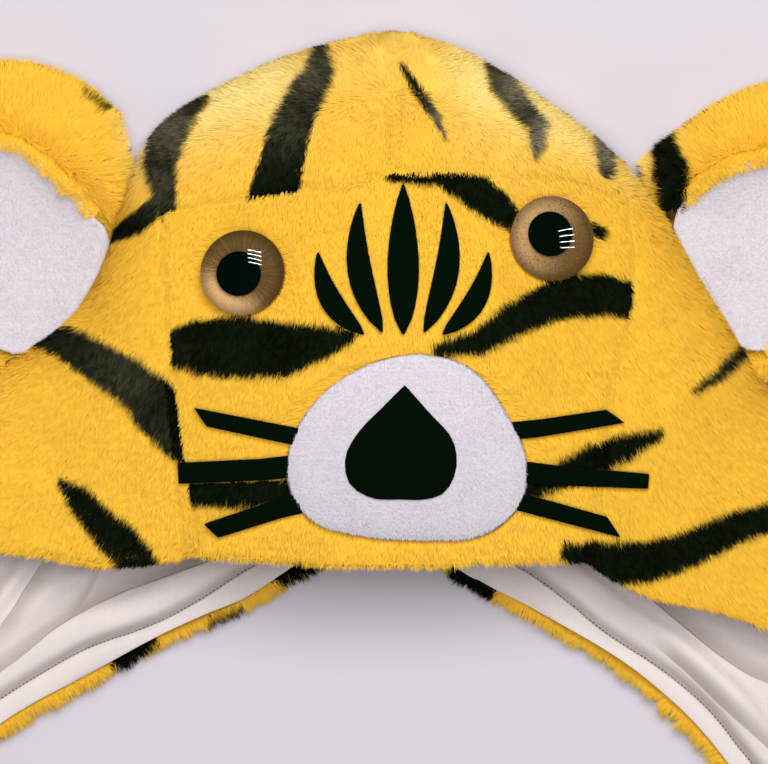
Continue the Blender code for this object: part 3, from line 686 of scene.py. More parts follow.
def stripeAt(kind, points, shift=0.0):  # 1 in a band, 0 outside
    place = inMm(points)
    x = place[:, 0] + 0.9 * softNoise(points, 9, 1) + 0.35 * softNoise(points, 2.3, 2)
    y = place[:, 1] + 0.9 * softNoise(points, 9, 3) + 0.35 * softNoise(points, 2.3, 4)
    inside = np.full(len(points), -99.0)
    for band in stripes[kind]:
        for start, end in zip(band, band[1:]):
            share, away = toRun(x, y, start, end)
            inside = np.maximum(inside, start[2] + share * (end[2] - start[2]) - away)
    return np.clip((inside + shift) / 0.9 + 0.5, 0, 1)


def paleness(points, normals):  # the crown's upper edge is washed with light
    place = inMm(points)
    crown = np.clip((place[:, 1] - 150) / 45, 0, 1) * np.clip((130 - np.abs(place[:, 0])) / 20, 0, 1)
    crown = crown * np.clip((np.abs(place[:, 0] + 8) - 12) / 30, 0.25, 1)
    return crown * np.clip((1.02 - normals[:, 2]) / 0.35, 0, 1)


stripeSheenSpots = (  # where the dark stripes are painted greyer, a painted sheen where the light falls on them: middle in mm from the brim's middle, reach, share
    (-95, 185, 26, 0.45), (-101, 163, 20, 0.3), (-34, 207, 26, 0.35), (-44, 186, 22, 0.22),
    (50, 202, 22, 0.65), (62, 181, 18, 0.75), (90, 175, 20, 0.7), (20, 190, 16, 0.7),
    (-120, 76, 34, 0.2), (-99, 56, 22, 0.15), (-143, 92, 22, 0.1), (142, 81, 24, 0.12),
)


# how much painted sheen greys the dark stripes at each point
def stripeSheen(points):
    place = inMm(points)
    total = np.zeros(len(points))
    for x, y, reach, share in stripeSheenSpots:
        away = (place[:, 0] - x) ** 2 + (place[:, 1] - y) ** 2
        total = np.maximum(total, share * np.exp(-away / (0.6 * reach) ** 2))
    return total


# Pile

clumpTable = np.random.default_rng(7).random((65536, 4))


def clumps(points, size):  # the jittered middle of each point's clump, and a value for it
    cell = np.floor(points / (size * mm) + 0.35 * softWay(points, 7, (11, 12, 13)))
    key = cell.astype(np.int64) @ np.array([73856093, 19349663, 83492791])
    found = clumpTable[np.abs(key) % len(clumpTable)]
    return (cell + 0.2 + 0.6 * found[:, :3]) * size * mm, found[:, 3]


hoods = treeOf([nodes[name].data for name in ("hood_left", "hood_right")])


def besideHood(where, out):  # whether the hood starts within a few mm of each point, seen from above
    beside = np.zeros(len(where), bool)
    for reach in np.arange(1.5, 9.1, 1.5):
        spots = where + out * reach * mm + (0, 0, 0.2)
        found = [hoods.ray_cast(Vector(spot), Vector((0, 0, -1)))[0] is not None for spot in spots]
        beside |= np.array(found, bool)
    return beside


def outFrom(where, middle):  # the level way out from a middle in mm
    return unit((inMm(where) - (*middle, 0)) * (1, 1, 0))


def nearWhite(where, out):  # close to 1 beside an ear's white front, 0 from 7.5 mm off
    near = np.zeros(len(where))
    for reach in np.arange(0.5, 7.5):
        near = np.maximum(near, planAt(where - out * reach * mm)[1] * (1 - reach / 7.5))
    return near


rooting = {
    "tilt": -0.3,  # no root on cloth that faces down more than this
    "low": 0.0012,  # or lies this low
    "seam": 0.4,
    "deep": 0.3,
    "faceUp": 0.45,
    "under": 0.0045,  # or has cloth this far over it
    "clear": (0.0028, 0.05),  # or looks at other cloth between these distances
    "whiteUnder": 0.0008,
    "whiteUp": 0.8,
    "besideWhite": 0.3,
}


def strew(made, density, dice, tilt):  # even places on a cloth, their normals, and a reader for values there
    points, normals, triangles = arrays(made.data)
    corners = points[triangles]
    cross = crossOf(corners)
    area = sizes(cross) / 2
    area[(unit(cross)[:, 2] < tilt) | (corners[..., 2].max(axis=1) < rooting["low"])] = 0
    count = int(area.sum() / mm**2 * density)
    chosen = triangles[dice.choice(len(area), count, p=area / area.sum())]
    first, second = dice.random((2, count))
    swap = first + second > 1
    first[swap], second[swap] = 1 - first[swap], 1 - second[swap]
    weights = np.stack([1 - first - second, first, second], axis=1)[..., None]

    def at(values):
        return (values[chosen] * weights).sum(axis=1)
    return at(points), unit(at(normals)), at


def plushRoots(made, density, dice):
    where, up, at = strew(made, density, dice, rooting["tilt"])
    carried = made.data.attributes
    atSeam = at(readAll(carried["seam"].data, "value", 1))[:, 0] > rooting["seam"]
    way = unit(at(readAll(carried["toward"].data, "vector", 3)))
    top = up - (up * way).sum(axis=1, keepdims=True) * way
    lost = atSeam & (sizes(top) < rooting["deep"])
    up[atSeam & ~lost] = unit(top[atSeam & ~lost])
    facing = (up[:, 2] > rooting["faceUp"]) & (not made.name.startswith("suit"))
    above, covered = planAt(where)
    keep = ~lost & ~(facing & (covered | (above - where[:, 2] > rooting["under"])))
    check = keep & ~facing & ~atSeam
    others = everything
    if made.name.startswith("ear"):  # an ear's own form was changed, so only the other pieces hide its pile
        keep = ~lost & ~covered
        out = outFrom(where, earTrim[made.name.removesuffix("_cloth")]["middle"])
        beside = keep & (nearWhite(where, out) > rooting["besideWhite"])
        beside[beside] = besideHood(where[beside], out[beside])
        keep &= ~beside  # there the white front meets the hood without a rim
        check = keep & ~atSeam
        others = treeOf([node.data for name, node in nodes.items() if not made.name.startswith(name)])
    keep[check] = hits(others, where[check], up[check], *rooting["clear"]) > 1
    return where[keep], up[keep], atSeam[keep].astype(float)


def whiteRoots(made, density, dice):  # but none on the ear's turned edge
    where, up, _ = strew(made, density, dice, 0)
    top, _ = planAt(where)
    level = (up[:, 2] > rooting["whiteUp"]) | made.name.startswith("nose")
    keep = (top - where[:, 2] < rooting["whiteUnder"]) & level
    return where[keep], up[keep], np.zeros(keep.sum())


def plantPile(name, roots, kind, look, flow, seed, grow=1.0, finish=pileFinish):
    where, up, seam = roots
    dice = np.random.default_rng(seed)
    count = len(where)
    along = flow(where, up)
    along = along - (along * up).sum(axis=1, keepdims=True) * up
    middle, value = clumps(where, look["clump"])
    pull = middle - where
    pull = pull - (pull * up).sum(axis=1, keepdims=True) * up
    steep = np.clip((0.5 - up[:, 2:]) / 0.5, 0, 1)
    lean = math.radians(look["lean"]) * (1 + 0.12 * softNoise(where, 16, seed + 5))[:, None]
    lean = lean * (1 - 0.2 * steep)
    aim = unit(up * np.cos(lean) + unit(along) * np.sin(lean) + dice.normal(size=(count, 3)) * look["wild"])
    length = look["length"] * mm * (0.72 + 0.5 * dice.random((count, 1))) * (1 - 0.25 * steep)
    length = length * (1 + 0.1 * softNoise(where, 11, 6) + look["ragged"] * softNoise(where, 4.5, 7))[:, None]
    length = length * (1 - 0.3 * seam[:, None]) * grow
    reach = aim * length + pull * look["gather"]
    share = np.ones((count, 1))
    if look["clear"]:  # no strand lies over the eyes, the patch or the felt
        for part in (1, 0.8, 0.6, 0.4):
            _, over = planAt(where + reach * part)
            share[over] = part - 0.2
    tip = where + reach * share
    side = unit(np.cross(reach, up + look["roll"] * dice.normal(size=(count, 3)))) * look["width"] * mm / 2
    side = side * (0.7 + 0.6 * dice.random((count, 1)))
    turned = (np.cross(side, reach) * up).sum(axis=1) < 0
    side[turned] = -side[turned]
    corners = np.stack([where - side, where + side, tip], axis=1)
    corners[..., 2] = np.maximum(corners[..., 2], 0.0003)
    mesh = bpy.data.meshes.new(name)
    mesh.vertices.add(count * 3)
    mesh.vertices.foreach_set("co", corners.astype(np.float32).ravel())
    mesh.loops.add(count * 3)
    mesh.loops.foreach_set("vertex_index", np.arange(count * 3, dtype=np.int32))
    mesh.polygons.add(count)
    mesh.polygons.foreach_set("loop_start", np.arange(0, count * 3, 3, dtype=np.int32))
    mesh.update(calc_edges=True)
    values = np.zeros((count, 3, 4), np.float32)
    if kind:  # the print lies on the outer half of a strand
        shift = look["spread"] * dice.normal(size=count)
        values[..., :2, 0] = stripeAt(kind, where + 0.55 * reach * share, shift)[:, None]
        values[..., 2, 0] = stripeAt(kind, tip, shift)
    # beside a seam the pile is painted darker, a painted shade in the seam's groove; the clumps and the
    # random tone are the pile's own
    tone = 0.5 - 0.22 * seam + look["clumpTone"] * (value - 0.5) + look["tone"] * dice.normal(size=count)
    values[..., 1] = np.clip(tone + 0.1 * softNoise(where, 30, seed + 9), 0, 1)[:, None]
    values[..., 2] = (0, 0, 1)
    # the fourth value is painted light: painted sheen on the dark stripes, painted paleness on the crown's
    # lit upper edge
    values[..., 3] = np.where(values[:, 2, 0] > 0.5, stripeSheen(where), paleness(where, up))[:, None]
    carry(mesh, "pile", values)
    lifted = unit(up + (0, 0, look["lift"]))
    soft = unit(lifted[:, None] + look["relief"] * unit(np.cross(side, reach))[:, None] + np.zeros((1, 3, 1)))
    carry(mesh, "custom_normal", soft)
    mesh.materials.append(finish)
    fur = addObject(name, mesh)
    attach(fur, "root")
    print(f"{name}: {count} strands")


eyePlaces = {"left": (-64.3, 121.9), "right": (65.9, 136.5)}
eyeRadius = 18.0
patchReach = (52, 40)


def hoodFlow(where, up):  # down the face, and away from the eyes and the patch
    place = inMm(where)
    flow = np.zeros_like(where)
    flow[:, 1] = -1
    flow[:, 0] = 0.25 * softNoise(where, 60, 21) + 0.004 * place[:, 0]
    flow[:, 2] = 0.25
    for eyeX, eyeY in eyePlaces.values():
        away = place[:, :2] - (eyeX, eyeY)
        distance = sizes(away)
        near = np.clip(1 - (distance - eyeRadius) / 7, 0, 1)[:, None]
        flow[:, :2] += 2.2 * near * away / distance[:, None]
    away = (place[:, :2] - patchMiddle) / patchReach
    distance = sizes(away)
    near = np.clip(1 - (distance - 1) / 0.12, 0, 1)[:, None]
    flow[:, :2] += 1.4 * near * away / distance[:, None]
    rim = np.clip((up[:, 1:2] - 0.3) / 0.3, 0, 1) * (place[:, 1:2] > 100)
    fan = np.zeros_like(flow)
    fan[:, 0] = np.tanh(place[:, 0] / 30) + 0.8 * softNoise(where, 14, 22)
    fan[:, 1] = 0.3
    return unit(flow * (1 - rim) + fan * rim)


def earFlow(name):  # out from the white front, but in over its edge close beside it
    def flow(where, up):
        out = outFrom(where, earTrim[name]["middle"])
        aim = out * (1 - 2.4 * nearWhite(where, out))[:, None] + (0, -0.3, 0.1)
        return unit(aim + 0.3 * softWay(where, 20, (31, 32, 33)))
    return flow


def downFlow(where, up):
    flow = np.zeros_like(where)
    flow[:, 1] = -1
    flow[:, 0] = 0.35 * softNoise(where, 90, 41)
    return unit(flow)


def sleeveFlow(side):
    run = np.array(suitStripes["sleeveEnd"], float) - suitStripes["sleeveStart"]
    aim = unit(np.array([[side * run[0], run[1], 0.0]]))

    def flow(where, up):
        return unit(aim + 0.2 * softWay(where, 70, (51, 52, 53)))
    return flow


pileLooks = {  # roots a square mm, lengths in mm, lean in degrees
    "hood": {"density": 4.5, "length": 4.4, "width": 0.6, "lean": 66, "wild": 0.13, "roll": 0.3,
             "gather": 0.35, "clump": 2.0, "tone": 0.06, "clumpTone": 0.2, "relief": 0.25, "ragged": 0.25,
             "spread": 0.5, "clear": True, "lift": 0.6},
    "fleece": {"density": 4.2, "length": 1.4, "width": 0.45, "lean": 68, "wild": 0.2, "roll": 0.4,
               "gather": 0.2, "clump": 1.8, "tone": 0.012, "clumpTone": 0.03, "relief": 0.03, "ragged": 0.1,
               "spread": 0, "clear": False, "lift": 0.5},
}
pileLooks["ear"] = dict(
    pileLooks["hood"], density=4.6, length=5.6, lean=57, wild=0.15, gather=0.65, clump=2.8, tone=0.07,
    clumpTone=0.28, relief=0.3, ragged=0.2, spread=0.45, clear=False, lift=0.9)
pileLooks["suit"] = dict(
    pileLooks["hood"], density=0.62, length=8.0, width=1.9, lean=70, wild=0.1, gather=0.3, clump=6, tone=0.05,
    clumpTone=0.18, relief=0.22, ragged=0.2, spread=0.9, lift=0.25)
plushPieces = {  # each piece's stripes, its pile and the way the pile lies
    "hood_left": ("hood", "hood", hoodFlow),
    "hood_right": ("hood", "hood", hoodFlow),
    "face_panel": ("face", "hood", hoodFlow),
    "ear_back_left": ("earLeft", "ear", earFlow("ear_back_left")),
    "ear_back_right": ("earRight", "ear", earFlow("ear_back_right")),
    "suit_front_left": ("suit", "suit", downFlow),
    "suit_front_right": ("suit", "suit", downFlow),
    "suit_back_left": ("suit", "suit", downFlow),
    "suit_back_right": ("suit", "suit", downFlow),
    "suit_sleeve_left": ("suit", "suit", sleeveFlow(-1)),
    "suit_sleeve_right": ("suit", "suit", sleeveFlow(1)),
    "suit_placket": ("suit", "suit", downFlow),
}
backingLook = {"shrink": 0.0015, "crease": 0.7, "tone": 0.5, "tip": 0.3}
thin = 1.0

for seed, (node, (kind, lookName, flow)) in enumerate(plushPieces.items(), 100):
    look = pileLooks[lookName]
    makeCloth(f"{node}_cloth", node, (backingFinish, knitFinish),
              shrink=backingLook["shrink"], crease=backingLook["crease"])
    points, normals, _ = arrays(cloth[node].data)
    stripe = stripeAt(kind, points)
    # the fourth value is painted light: painted sheen on the dark stripes, painted paleness on the crown's
    # lit upper edge
    pale = np.where(stripe > 0.5, stripeSheen(points), paleness(points, normals))
    same = np.ones(len(points))
    carry(cloth[node].data, "pile", np.stack(
        [stripe, backingLook["tone"] * same, backingLook["tip"] * same, pale], axis=1))
    roots = plushRoots(cloth[node], look["density"] * thin, np.random.default_rng(seed))
    plantPile(f"{node}_pile", roots, kind, look, flow, seed)
print("plush made")

for node in whitePieces:
    look = pileLooks["fleece"]
    roots = whiteRoots(cloth[node], look["density"] * thin, np.random.default_rng(200))
    plantPile(f"{node}_pile", roots, None, look, downFlow, 200, finish=whitePileFinish)


# Pile that leans over the edge of the ears' white fronts

earEdge = {"perMm": 25, "low": -0.3, "high": 3.6, "sink": 0.5, "least": 6, "reach": (10, 75, 0.5), "turn": 4}
earEdgeLook = dict(pileLooks["ear"], length=4.4, lean=50, wild=0.22, gather=0.3, clump=2.2)
for side in ("left", "right"):
    dice = np.random.default_rng(400 + len(side))
    points, _, _ = arrays(cloth[f"ear_inner_{side}"].data)
    middle = (points.max(axis=0) + points.min(axis=0)) / 2
    turns = np.arange(0, 361, earEdge["turn"]) * math.tau / 360
    aims = np.stack([np.cos(turns), np.sin(turns)], axis=1)
    reaches = np.arange(*earEdge["reach"]) * mm
    spots = middle[:2] + aims[:, None] * reaches[:, None]
    white = planAt(spots.reshape(-1, 2))[1].reshape(spots.shape[:2])
    last = reaches[-1 - np.argmax(white[:, ::-1], axis=1)]
    outline = smoothed(aims * last[:, None])
    along = lengthsOf(outline)
    count = int(along[-1] / mm * earEdge["perMm"] * thin)
    flat = pointsOn(outline, along, dice.random(count) * along[-1])
    away = np.hstack([unit(flat), np.zeros((count, 1))])
    outward = earEdge["low"] + (earEdge["high"] - earEdge["low"]) * dice.random((count, 1))
    where = np.hstack([middle[:2] + flat, np.zeros((count, 1))]) + away * outward * mm
    height, _ = planAt(where)
    where[:, 2] = height - earEdge["sink"] * mm
    ragged = np.clip(1 + 0.4 * softNoise(where, 9, 71) + 0.3 * softNoise(where, 3.5, 72), 0.5, 1.5)[:, None]
    keep = (height > earEdge["least"] * mm) & ~besideHood(where, away)
    up = unit(np.array([0, 0, 1.0]) - 0.2 * away)
    plantPile(f"ear_edge_pile_{side}", (where[keep], up[keep], np.zeros(keep.sum())), f"ear{side.title()}",
              earEdgeLook, lambda where, up, lie=-away[keep]: lie, 400, ragged[keep])


# Pile that shows beyond the lining at the neck's edge

neckEdges = {
    "left": (
        (-223, -119), (-190, -88), (-160, -66), (-134, -53), (-102, -35), (-78, -24), (-59, -16), (-46, -7),
        (-34, -1), (-25, 1), (-18, 3), (-12, 5), (0, 6),
    ),
    "right": (
        (0, 6), (13, 4), (19, 1), (26, -5), (34, -10), (48, -17), (66, -27), (92, -42), (111, -56),
        (139, -84), (156, -108), (178, -130), (208, -151),
    ),
}
# seam: the neck pile gets the darker tone of pile at a seam, a painted shade, and the shorter strands of a
# seam
neckPile = {"perMm": 34, "depth": 2.0, "height": 5.6, "seam": 0.7, "half": 3}
neckLook = dict(pileLooks["hood"], length=6.6, width=0.7, lean=58, wild=0.22, gather=0.75, clump=2.8)
for side, edge in neckEdges.items():
    dice = np.random.default_rng(300 + len(side))
    edge = np.array(edge, float)
    along = lengthsOf(edge)
    count = int(along[-1] * neckPile["perMm"] * thin)
    place = dice.random(count) * along[-1]
    half = neckPile["half"]
    run = unit(pointsOn(edge, along, place + half) - pointsOn(edge, along, place - half))
    out = np.stack([run[:, 1], -run[:, 0], np.zeros(count)], axis=1)
    inward = neckPile["depth"] * dice.random(count) ** 1.5
    z = np.where(inward > 0.8, neckPile["height"], 1.15 * neckPile["height"] * dice.random(count) ** 0.6)
    flat = pointsOn(edge, along, place) - out[:, :2] * inward[:, None]
    where = brimMiddle + np.column_stack([flat, z]) * mm
    up = unit(out * 0.5 + (0, 0, 0.8))
    tufts = np.clip(1 + 0.35 * softNoise(where, 12, 61) + 0.4 * softNoise(where, 4, 62), 0.4, 1.5)[:, None]
    lie = out + 0.5 * softNoise(where, 8, 63)[:, None] * np.stack([-out[:, 1], out[:, 0], out[:, 2]], axis=1)
    plantPile(f"neck_edge_pile_{side}", (where, up, np.full(count, neckPile["seam"])), "hood", neckLook,
              lambda where, up, lie=lie: lie, 300, tufts)

for node in ("lining_left", "lining_right"):
    makeCloth(f"{node}_cloth", node, (knitFinish,), levels=3)

for node in nodes:
    if node.startswith(("whisker", "forehead")) or node == "nose":
        makeCloth(f"{node}_felt", node, (feltFinish,), crease=0.85)


# Creases of the lining: points in mm from the brim's middle, half width, height

creases = (
    (((-78, 13), (-96, 4), (-120, -1), (-144, -11), (-168, -30), (-196, -56)), 5, 3.5),
    (((-155, 8), (-162, -6), (-170, -18), (-178, -30)), 4, 4.5),
    (((-122, 4), (-126, -6), (-131, -16)), 4, 2.5),
    (((98, -14), (112, -27), (128, -42), (145, -56), (162, -68), (182, -82)), 6.5, 4.0),
)


def creaseAt(points):  # height in metres that the creases add
    place = inMm(points)
    total = np.zeros(len(points))
    for line, width, height in creases:
        away = np.full(len(points), 99.0)
        share = np.zeros(len(points))
        for k, (start, end) in enumerate(zip(line, line[1:])):
            here, gap = toRun(place[:, 0], place[:, 1], start, end)
            share = np.where(gap < away, (k + here) / (len(line) - 1), share)
            away = np.minimum(away, gap)
        total += height * mm * np.exp(-((away / width) ** 2)) * np.sin(np.pi * np.clip(share, 0.08, 0.92))
    return total


hems = {
    "left": ((-230, -104), (-196, -78), (-169, -60), (-153, -50), (-132, -38), (-106, -30), (-84, -18.5),
             (-66, -6), (-50, 2)),
    "right": ((42, 2), (57, -5.6), (77, -20.6), (89, -31.4), (114, -47), (136, -65), (153, -88), (172, -108),
              (196, -134)),
}
folds = {  # sharp folds with their low side on the left of the way along them, and the strength of their painted shade and of their bump
    "left": (
        (((-190, -64), (-176, -53), (-160, -41.5), (-148.4, -31), (-135.5, -23.2), (-121.3, -15.9),
          (-101, -8.6), (-83.9, -2.2), (-64, 4)), 0.55),
        (((-144, 12), (-149, 2), (-155.7, -8.6), (-160, -15.1), (-164.7, -23.2), (-168.6, -28),
          (-176, -40)), 0.5),
        (((-141, -26), (-134.6, -18.1), (-131.2, -12.9), (-128.1, -6.5), (-127, 4)), 0.3),
    ),
    "right": (
        (((96, -4), (105, -12), (114.8, -21.1), (126.9, -31), (139.8, -41.7), (152.7, -50.3), (160, -53.3),
          (176, -60), (196, -69)), 0.6),
        (((110, -36), (120, -44.5), (126.9, -50.3), (144.1, -67.5), (160, -80.4), (182, -102)), 0.6),
    ),
}
hemSwell = {"band": 1.6, "bandHalf": 5.2, "puff": 4.8, "puffHalf": 8.5}
# foldPaint: how dark the painted shade at the hem's groove is, over how many mm it fades at a line's ends,
# and how far it reaches
foldPaint = {"hem": 0.6, "fade": 14, "reach": 16}


def wayTo(place, line):  # distance in mm to a line, above 0 on its left, the way, and how far along the line
    away = np.full(len(place), 999.0)
    way = np.zeros((len(place), 2))
    at = np.zeros(len(place))
    done = 0.0
    for start, end in zip(np.array(line[:-1], float), np.array(line[1:], float)):
        run = end - start
        share = np.clip((place - start) @ run / (run @ run), 0, 1)
        gap = start + share[:, None] * run - place
        distance = sizes(gap)
        nearer = distance < np.abs(away)
        left = run[1] * gap[:, 0] > run[0] * gap[:, 1]
        away[nearer] = np.where(left, distance, -distance)[nearer]
        way[nearer] = gap[nearer]
        at[nearer] = done + share[nearer] * np.linalg.norm(run)
        done += np.linalg.norm(run)
    return away, way, at


def puffed(away, half):  # height from 0 to 1 of a puffed strip
    return np.sqrt(np.clip(1 - (away / half) ** 2, 0, 1))


def hemRise(place, side):  # the hem's puffed band, the groove at its stitches, and the puff behind
    away, _, at = wayTo(place, smoothed(hems[side]))
    band = hemSwell["band"] * puffed(away + hemSwell["bandHalf"], hemSwell["bandHalf"])
    wave = 1 + 0.2 * np.sin(at / 17)
    puff = hemSwell["puff"] * wave * puffed(away - hemSwell["puffHalf"], hemSwell["puffHalf"])
    return (band + puff) * mm


def paintFolds(lining, side):  # how far each point is from the hem's stitches and from the folds, and how strongly their painted shade shows there
    place = inMm(arrays(lining.data)[0])[:, :2]
    values = np.full((len(place), 4), 99.0)
    shares = np.zeros((len(place), 4))
    for k, (line, depth) in enumerate([(hems[side], foldPaint["hem"]), *folds[side]]):
        line = smoothed(line)
        away, _, at = wayTo(place, line)
        total = sizes(np.diff(line, axis=0)).sum()
        ends = np.clip(np.minimum(at, total - at) / foldPaint["fade"], 0, 1)
        values[:, k] = away
        shares[:, k] = depth * ends * (np.abs(away) < foldPaint["reach"])
    carry(lining.data, "folds", values)
    carry(lining.data, "foldShare", shares)


liningReach = {"from": 5.0, "out": 4.3, "fade": 22.0, "lowest": 0.0061}
for side, edge in neckEdges.items():  # the lining's edge lies on the neck's edge
    lining = cloth[f"lining_{side}"]
    points, _, _ = arrays(lining.data)
    away, way, _ = wayTo(inMm(points)[:, :2], edge)
    shift = liningReach["out"] * np.clip(1 - (np.abs(away) - liningReach["from"]) / liningReach["fade"], 0, 1)
    points[:, :2] += unit(way) * shift[:, None] * mm
    raised = points[:, 2] + creaseAt(points) + hemRise(inMm(points)[:, :2], side)
    points[:, 2] = np.maximum(raised, liningReach["lowest"])
    setPoints(lining.data, points)
    paintFolds(lining, side)


def addShape(add, name, finish, at=(0, 0, 0), turn=None, **measures):  # a primitive, alone selected
    bpy.ops.object.select_all(action="DESELECT")
    add(**measures)
    made = bpy.context.object
    made.name = name
    made.data.materials.append(finish)
    made.location = at
    if turn is not None:
        made.rotation_mode = "QUATERNION"
        made.rotation_quaternion = turn
    return made


# Hem stitches: a dashed line along the lining's free edge

stitch = {"length": 1.0, "step": 1.8, "width": 0.5, "height": 0.3, "bevel": 0.0001}
for side, line in hems.items():
    seam = addShape(bpy.ops.mesh.primitive_cube_add, f"hem_stitches_{side}", threadFinish, size=1)
    bar, _, _ = arrays(seam.data)
    faces = np.array([list(face.vertices) for face in seam.data.polygons])
    line = smoothed(line)
    along = lengthsOf(line)
    top = treeOf([cloth[f"lining_{side}"].data])
    allPoints = []
    allFaces = []
    for place in np.arange(1, along[-1] - 1, stitch["step"]):
        ends = []
        for x, y in pointsOn(line, along, place + np.array([-0.5, 0.5]) * stitch["length"]):
            ends.append(top.ray_cast(Vector(fromBrim(x, y, 60)), (0, 0, -1))[0])
        if None in ends:
            continue
        run = np.array(ends[1] - ends[0])
        across = unit(np.array([-run[1], run[0], 0])) * stitch["width"] * mm
        up = np.array([0, 0, stitch["height"] * mm])
        middle = (np.array(ends[0]) + np.array(ends[1])) / 2
        allFaces.append(faces + 8 * len(allPoints))
        allPoints.append(middle + bar[:, :1] * run + bar[:, 1:2] * across + bar[:, 2:] * up)
    seam.data.clear_geometry()
    seam.data.from_pydata(np.vstack(allPoints).tolist(), [], np.vstack(allFaces).tolist())
    soften(seam, "BEVEL", width=stitch["bevel"], segments=1)
    bpy.ops.object.shade_smooth()
    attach(seam, "root")
print("lining made")


# Toy eyes: bronze cone, black pupil and a clear dome

eye = {
    "domeRound": 26.6,
    "swell": 1.035,
    "edgeTurn": 42.5,  # from the dome's top to its edge, on one of the ball's rings
    "coneBottom": 8.6,
    "coneTop": 18.25,
    "coneLow": -0.9,  # from the dome's edge
    "coneHigh": 0.15,
    "pupil": 9.6,
    "pupilTop": 1.5,
    "bevel": {"width": 0.0004, "segments": 3, "limit_method": "ANGLE"},
    "smooth": math.radians(35),
}
iris = {
    "bronze": (0.125, 0.07, 0.019),
    "shine": (0.86, 0.515, 0.225),
    "rim": (0.045, 0.022, 0.006),
    "rimFrom": 12.4,
    "rimTo": 18.4,
    "litTo": 17,
}
eyeLooks = {  # lit, litFrom and glow: the way its light comes and how much lighter the iris is painted on that side, a painted light; at and turn: where its catch light lies
    "left": {"lit": (-0.57, -0.82, 0.0), "litFrom": 1, "glow": 1.0, "base": -0.02, "brushed": 0.26,
             "dots": 0.25, "pupilAt": (-1.5, -0.55), "at": (6.3, 5.8), "turn": -16, "step": 138,
             "size": (420, 26)},
    "right": {"lit": (-0.9, 0.42, 0.0), "litFrom": -17, "glow": 0.75, "base": -0.03, "brushed": 0.1,
              "dots": 0.6, "pupilAt": (-1.0, 1.8), "at": (4.9, -0.8), "turn": 3, "step": 176,
              "size": (520, 27)},
}

dome = Finish("eye_dome")
glossShare = 0.16 - 0.12 * dome.node("ShaderNodeLayerWeight", {}, {}, "Facing").between(0.12, 0.35)
clear = dome.node("ShaderNodeBsdfTransparent", {}, {})
gloss = dome.node("ShaderNodeBsdfGlossy", {}, {"Roughness": 0.02})
dome.put(dome.tree.nodes["Material Output"].inputs["Surface"],
         dome.node("ShaderNodeMixShader", {}, {0: glossShare, 1: clear, 2: gloss}))
pupilLook = {"base_color": (0.0004, 0.004, 0.0018), "roughness": 0.3, "specular_ior_level": 0.05}
pupilFinish = Finish("eye_pupil", **pupilLook).material


def bronzeFinish(side, middle, axis):
    look = eyeLooks[side]
    bronze = Finish(f"eye_bronze_{side}", roughness=0.5, specular_ior_level=0.1)
    offset = bronze.vector("SUBTRACT", bronze.place(), tuple(middle))
    out = bronze.vector("CROSS_PRODUCT", offset, tuple(axis))
    reach = bronze.vector("LENGTH", out, output="Value")
    rim = reach.between(iris["rimFrom"] * mm, iris["rimTo"] * mm)
    flakes = bronze.noise(2600, 2.0)
    dots = bronze.noise(1700, 1.0).between(0.60, 0.68)
    strokes = {"Vector": bronze.vector("NORMALIZE", out), "Scale": 44.0, "Detail": 4.0}
    brushed = bronze.node("ShaderNodeTexNoise", {}, strokes).between(0.3, 0.7)
    # painted light: the iris is painted lighter on the side its light comes from
    lit = bronze.vector("DOT_PRODUCT", offset, look["lit"], output="Value")
    glow = lit.between(look["litFrom"] * mm, iris["litTo"] * mm)
    lightness = glow * look["glow"] + (flakes - 0.5) * 0.8 + (brushed - 0.5) * look["brushed"]
    lightness = lightness + look["base"] - dots * look["dots"]
    colour = bronze.mix(lightness.clamped(), iris["bronze"], iris["shine"])
    bronze.set({"Base Color": bronze.mix(rim * 0.7, colour, iris["rim"])})
    bronze.bump(flakes, 0.0001)
    return bronze.material


def choose(parts, kind, chosen):  # enters edit mode with only those points or faces selected
    mode("EDIT")
    bpy.ops.mesh.select_mode(type=kind)
    bpy.ops.mesh.select_all(action="DESELECT")
    mode("OBJECT")
    for part in parts():
        part.select = bool(chosen(part))
    mode("EDIT")


def finishPart(part):
    bpy.ops.object.shade_smooth_by_angle(angle=eye["smooth"])
    bpy.ops.object.transform_apply(location=True, rotation=True, scale=True)
    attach(part, "root")


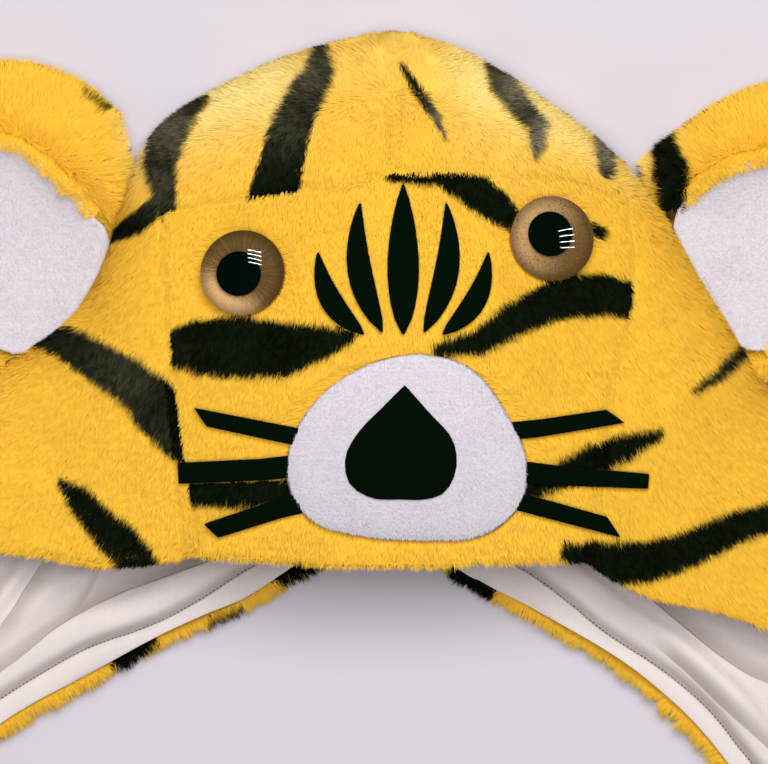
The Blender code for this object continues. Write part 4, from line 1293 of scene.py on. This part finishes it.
for side, look in eyeLooks.items():
    node = f"eye_{side}"
    shift = np.array(eyeShift[node]) * mm
    points, _, triangles = arrays(nodes[node].data)
    corners = points[triangles] + shift
    cross = crossOf(corners)
    under = unit(cross)[:, 2] < -0.8
    axis = -unit(cross[under].sum(axis=0))
    middle = np.average(corners[under].mean(axis=1), axis=0, weights=sizes(cross[under]))
    turn = Vector(axis).to_track_quat("Z", "Y")
    ballRound = eye["domeRound"] * eye["swell"] * mm
    edgeLow = ballRound * math.cos(math.radians(eye["edgeTurn"]))
    domeTop = ((points + shift - middle) @ axis).max() * eye["swell"]
    domeBase = domeTop - ballRound + edgeLow
    print("eye", side, "top and base in mm", round(domeTop / mm, 2), round(domeBase / mm, 2))

    height = (eye["coneHigh"] - eye["coneLow"]) * mm
    cone = addShape(bpy.ops.mesh.primitive_cone_add, f"eye_iris_{side}", bronzeFinish(side, middle, axis),
                    middle + axis * (domeBase + eye["coneLow"] * mm + height / 2), turn,
                    vertices=96, radius1=eye["coneBottom"] * mm, radius2=eye["coneTop"] * mm, depth=height)
    choose(lambda: cone.data.polygons, "FACE", lambda face: len(face.vertices) > 4 and face.center.z > 0)
    bpy.ops.mesh.delete(type="FACE")
    bpy.ops.mesh.select_all(action="SELECT")
    bpy.ops.mesh.flip_normals()  # the dish is seen from inside
    mode("OBJECT")

    pupilAt = middle + axis * (domeBase + (eye["pupilTop"] - 1) * mm) + np.array([*look["pupilAt"], 0]) * mm
    pupil = addShape(bpy.ops.mesh.primitive_cylinder_add, f"eye_pupil_{side}", pupilFinish, pupilAt, turn,
                     vertices=96, radius=eye["pupil"] * mm, depth=2 * mm)
    for part in (cone, pupil):
        pick(part)
        soften(part, "BEVEL", **eye["bevel"])
        finishPart(part)

    ball = addShape(bpy.ops.mesh.primitive_uv_sphere_add, f"eye_dome_{side}", dome.material,
                    middle + axis * (domeTop - ballRound), turn, segments=96, ring_count=72, radius=ballRound)
    choose(lambda: ball.data.vertices, "VERT", lambda point: point.co.z < edgeLow - 0.0002)
    bpy.ops.mesh.delete(type="VERT")
    mode("OBJECT")
    choose(lambda: ball.data.vertices, "VERT", lambda point: point.co.z < edgeLow + 0.0002)
    bpy.ops.mesh.extrude_region_move(TRANSFORM_OT_translate={"value": tuple(-axis * domeBase)})
    bpy.ops.mesh.edge_face_add()
    bpy.ops.mesh.select_all(action="SELECT")
    bpy.ops.mesh.normals_make_consistent(inside=False)
    mode("OBJECT")
    finishPart(ball)
    for part in (ball, cone, pupil):
        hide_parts(node)

    mirrored = bpy.data.collections.new(f"mirrors_{side}")  # slats of a blind that only this eye mirrors
    mirrored.objects.link(ball)
    tilt = axis[:2] + np.array(look["at"]) / eye["domeRound"]
    half = np.array([*tilt, math.sqrt(1 - tilt @ tilt)])
    toward = 2 * half[2] * half - (0, 0, 1)
    across = unit(np.cross((0, 1, 0), toward))
    down = np.cross(toward, across)
    for i in range(blinds["count"]):
        off = (i - (blinds["count"] - 1) / 2) * look["step"]
        place = inMm(middle) + toward * blinds["away"] + down * off
        slat = addLamp(f"blind_{side}_{i}", place, look["size"], blinds["power"])
        slat.rotation_euler = Matrix(np.stack([across, down, toward], axis=1).tolist()).to_euler()
        slat.rotation_euler.rotate_axis("Z", math.radians(look["turn"]))
        slat.light_linking.receiver_collection = mirrored
print("eyes made")


# Floor

floorLook = {"colour": (0.565, 0.53, 0.572), "side": 8}
floorFinish = Finish("floor", base_color=floorLook["colour"], roughness=0.6, specular_ior_level=0.2)
floor = addShape(bpy.ops.mesh.primitive_plane_add, "floor", floorFinish.material, size=floorLook["side"])
floor.visible_glossy = False  # the domes mirror only the blinds and the plush
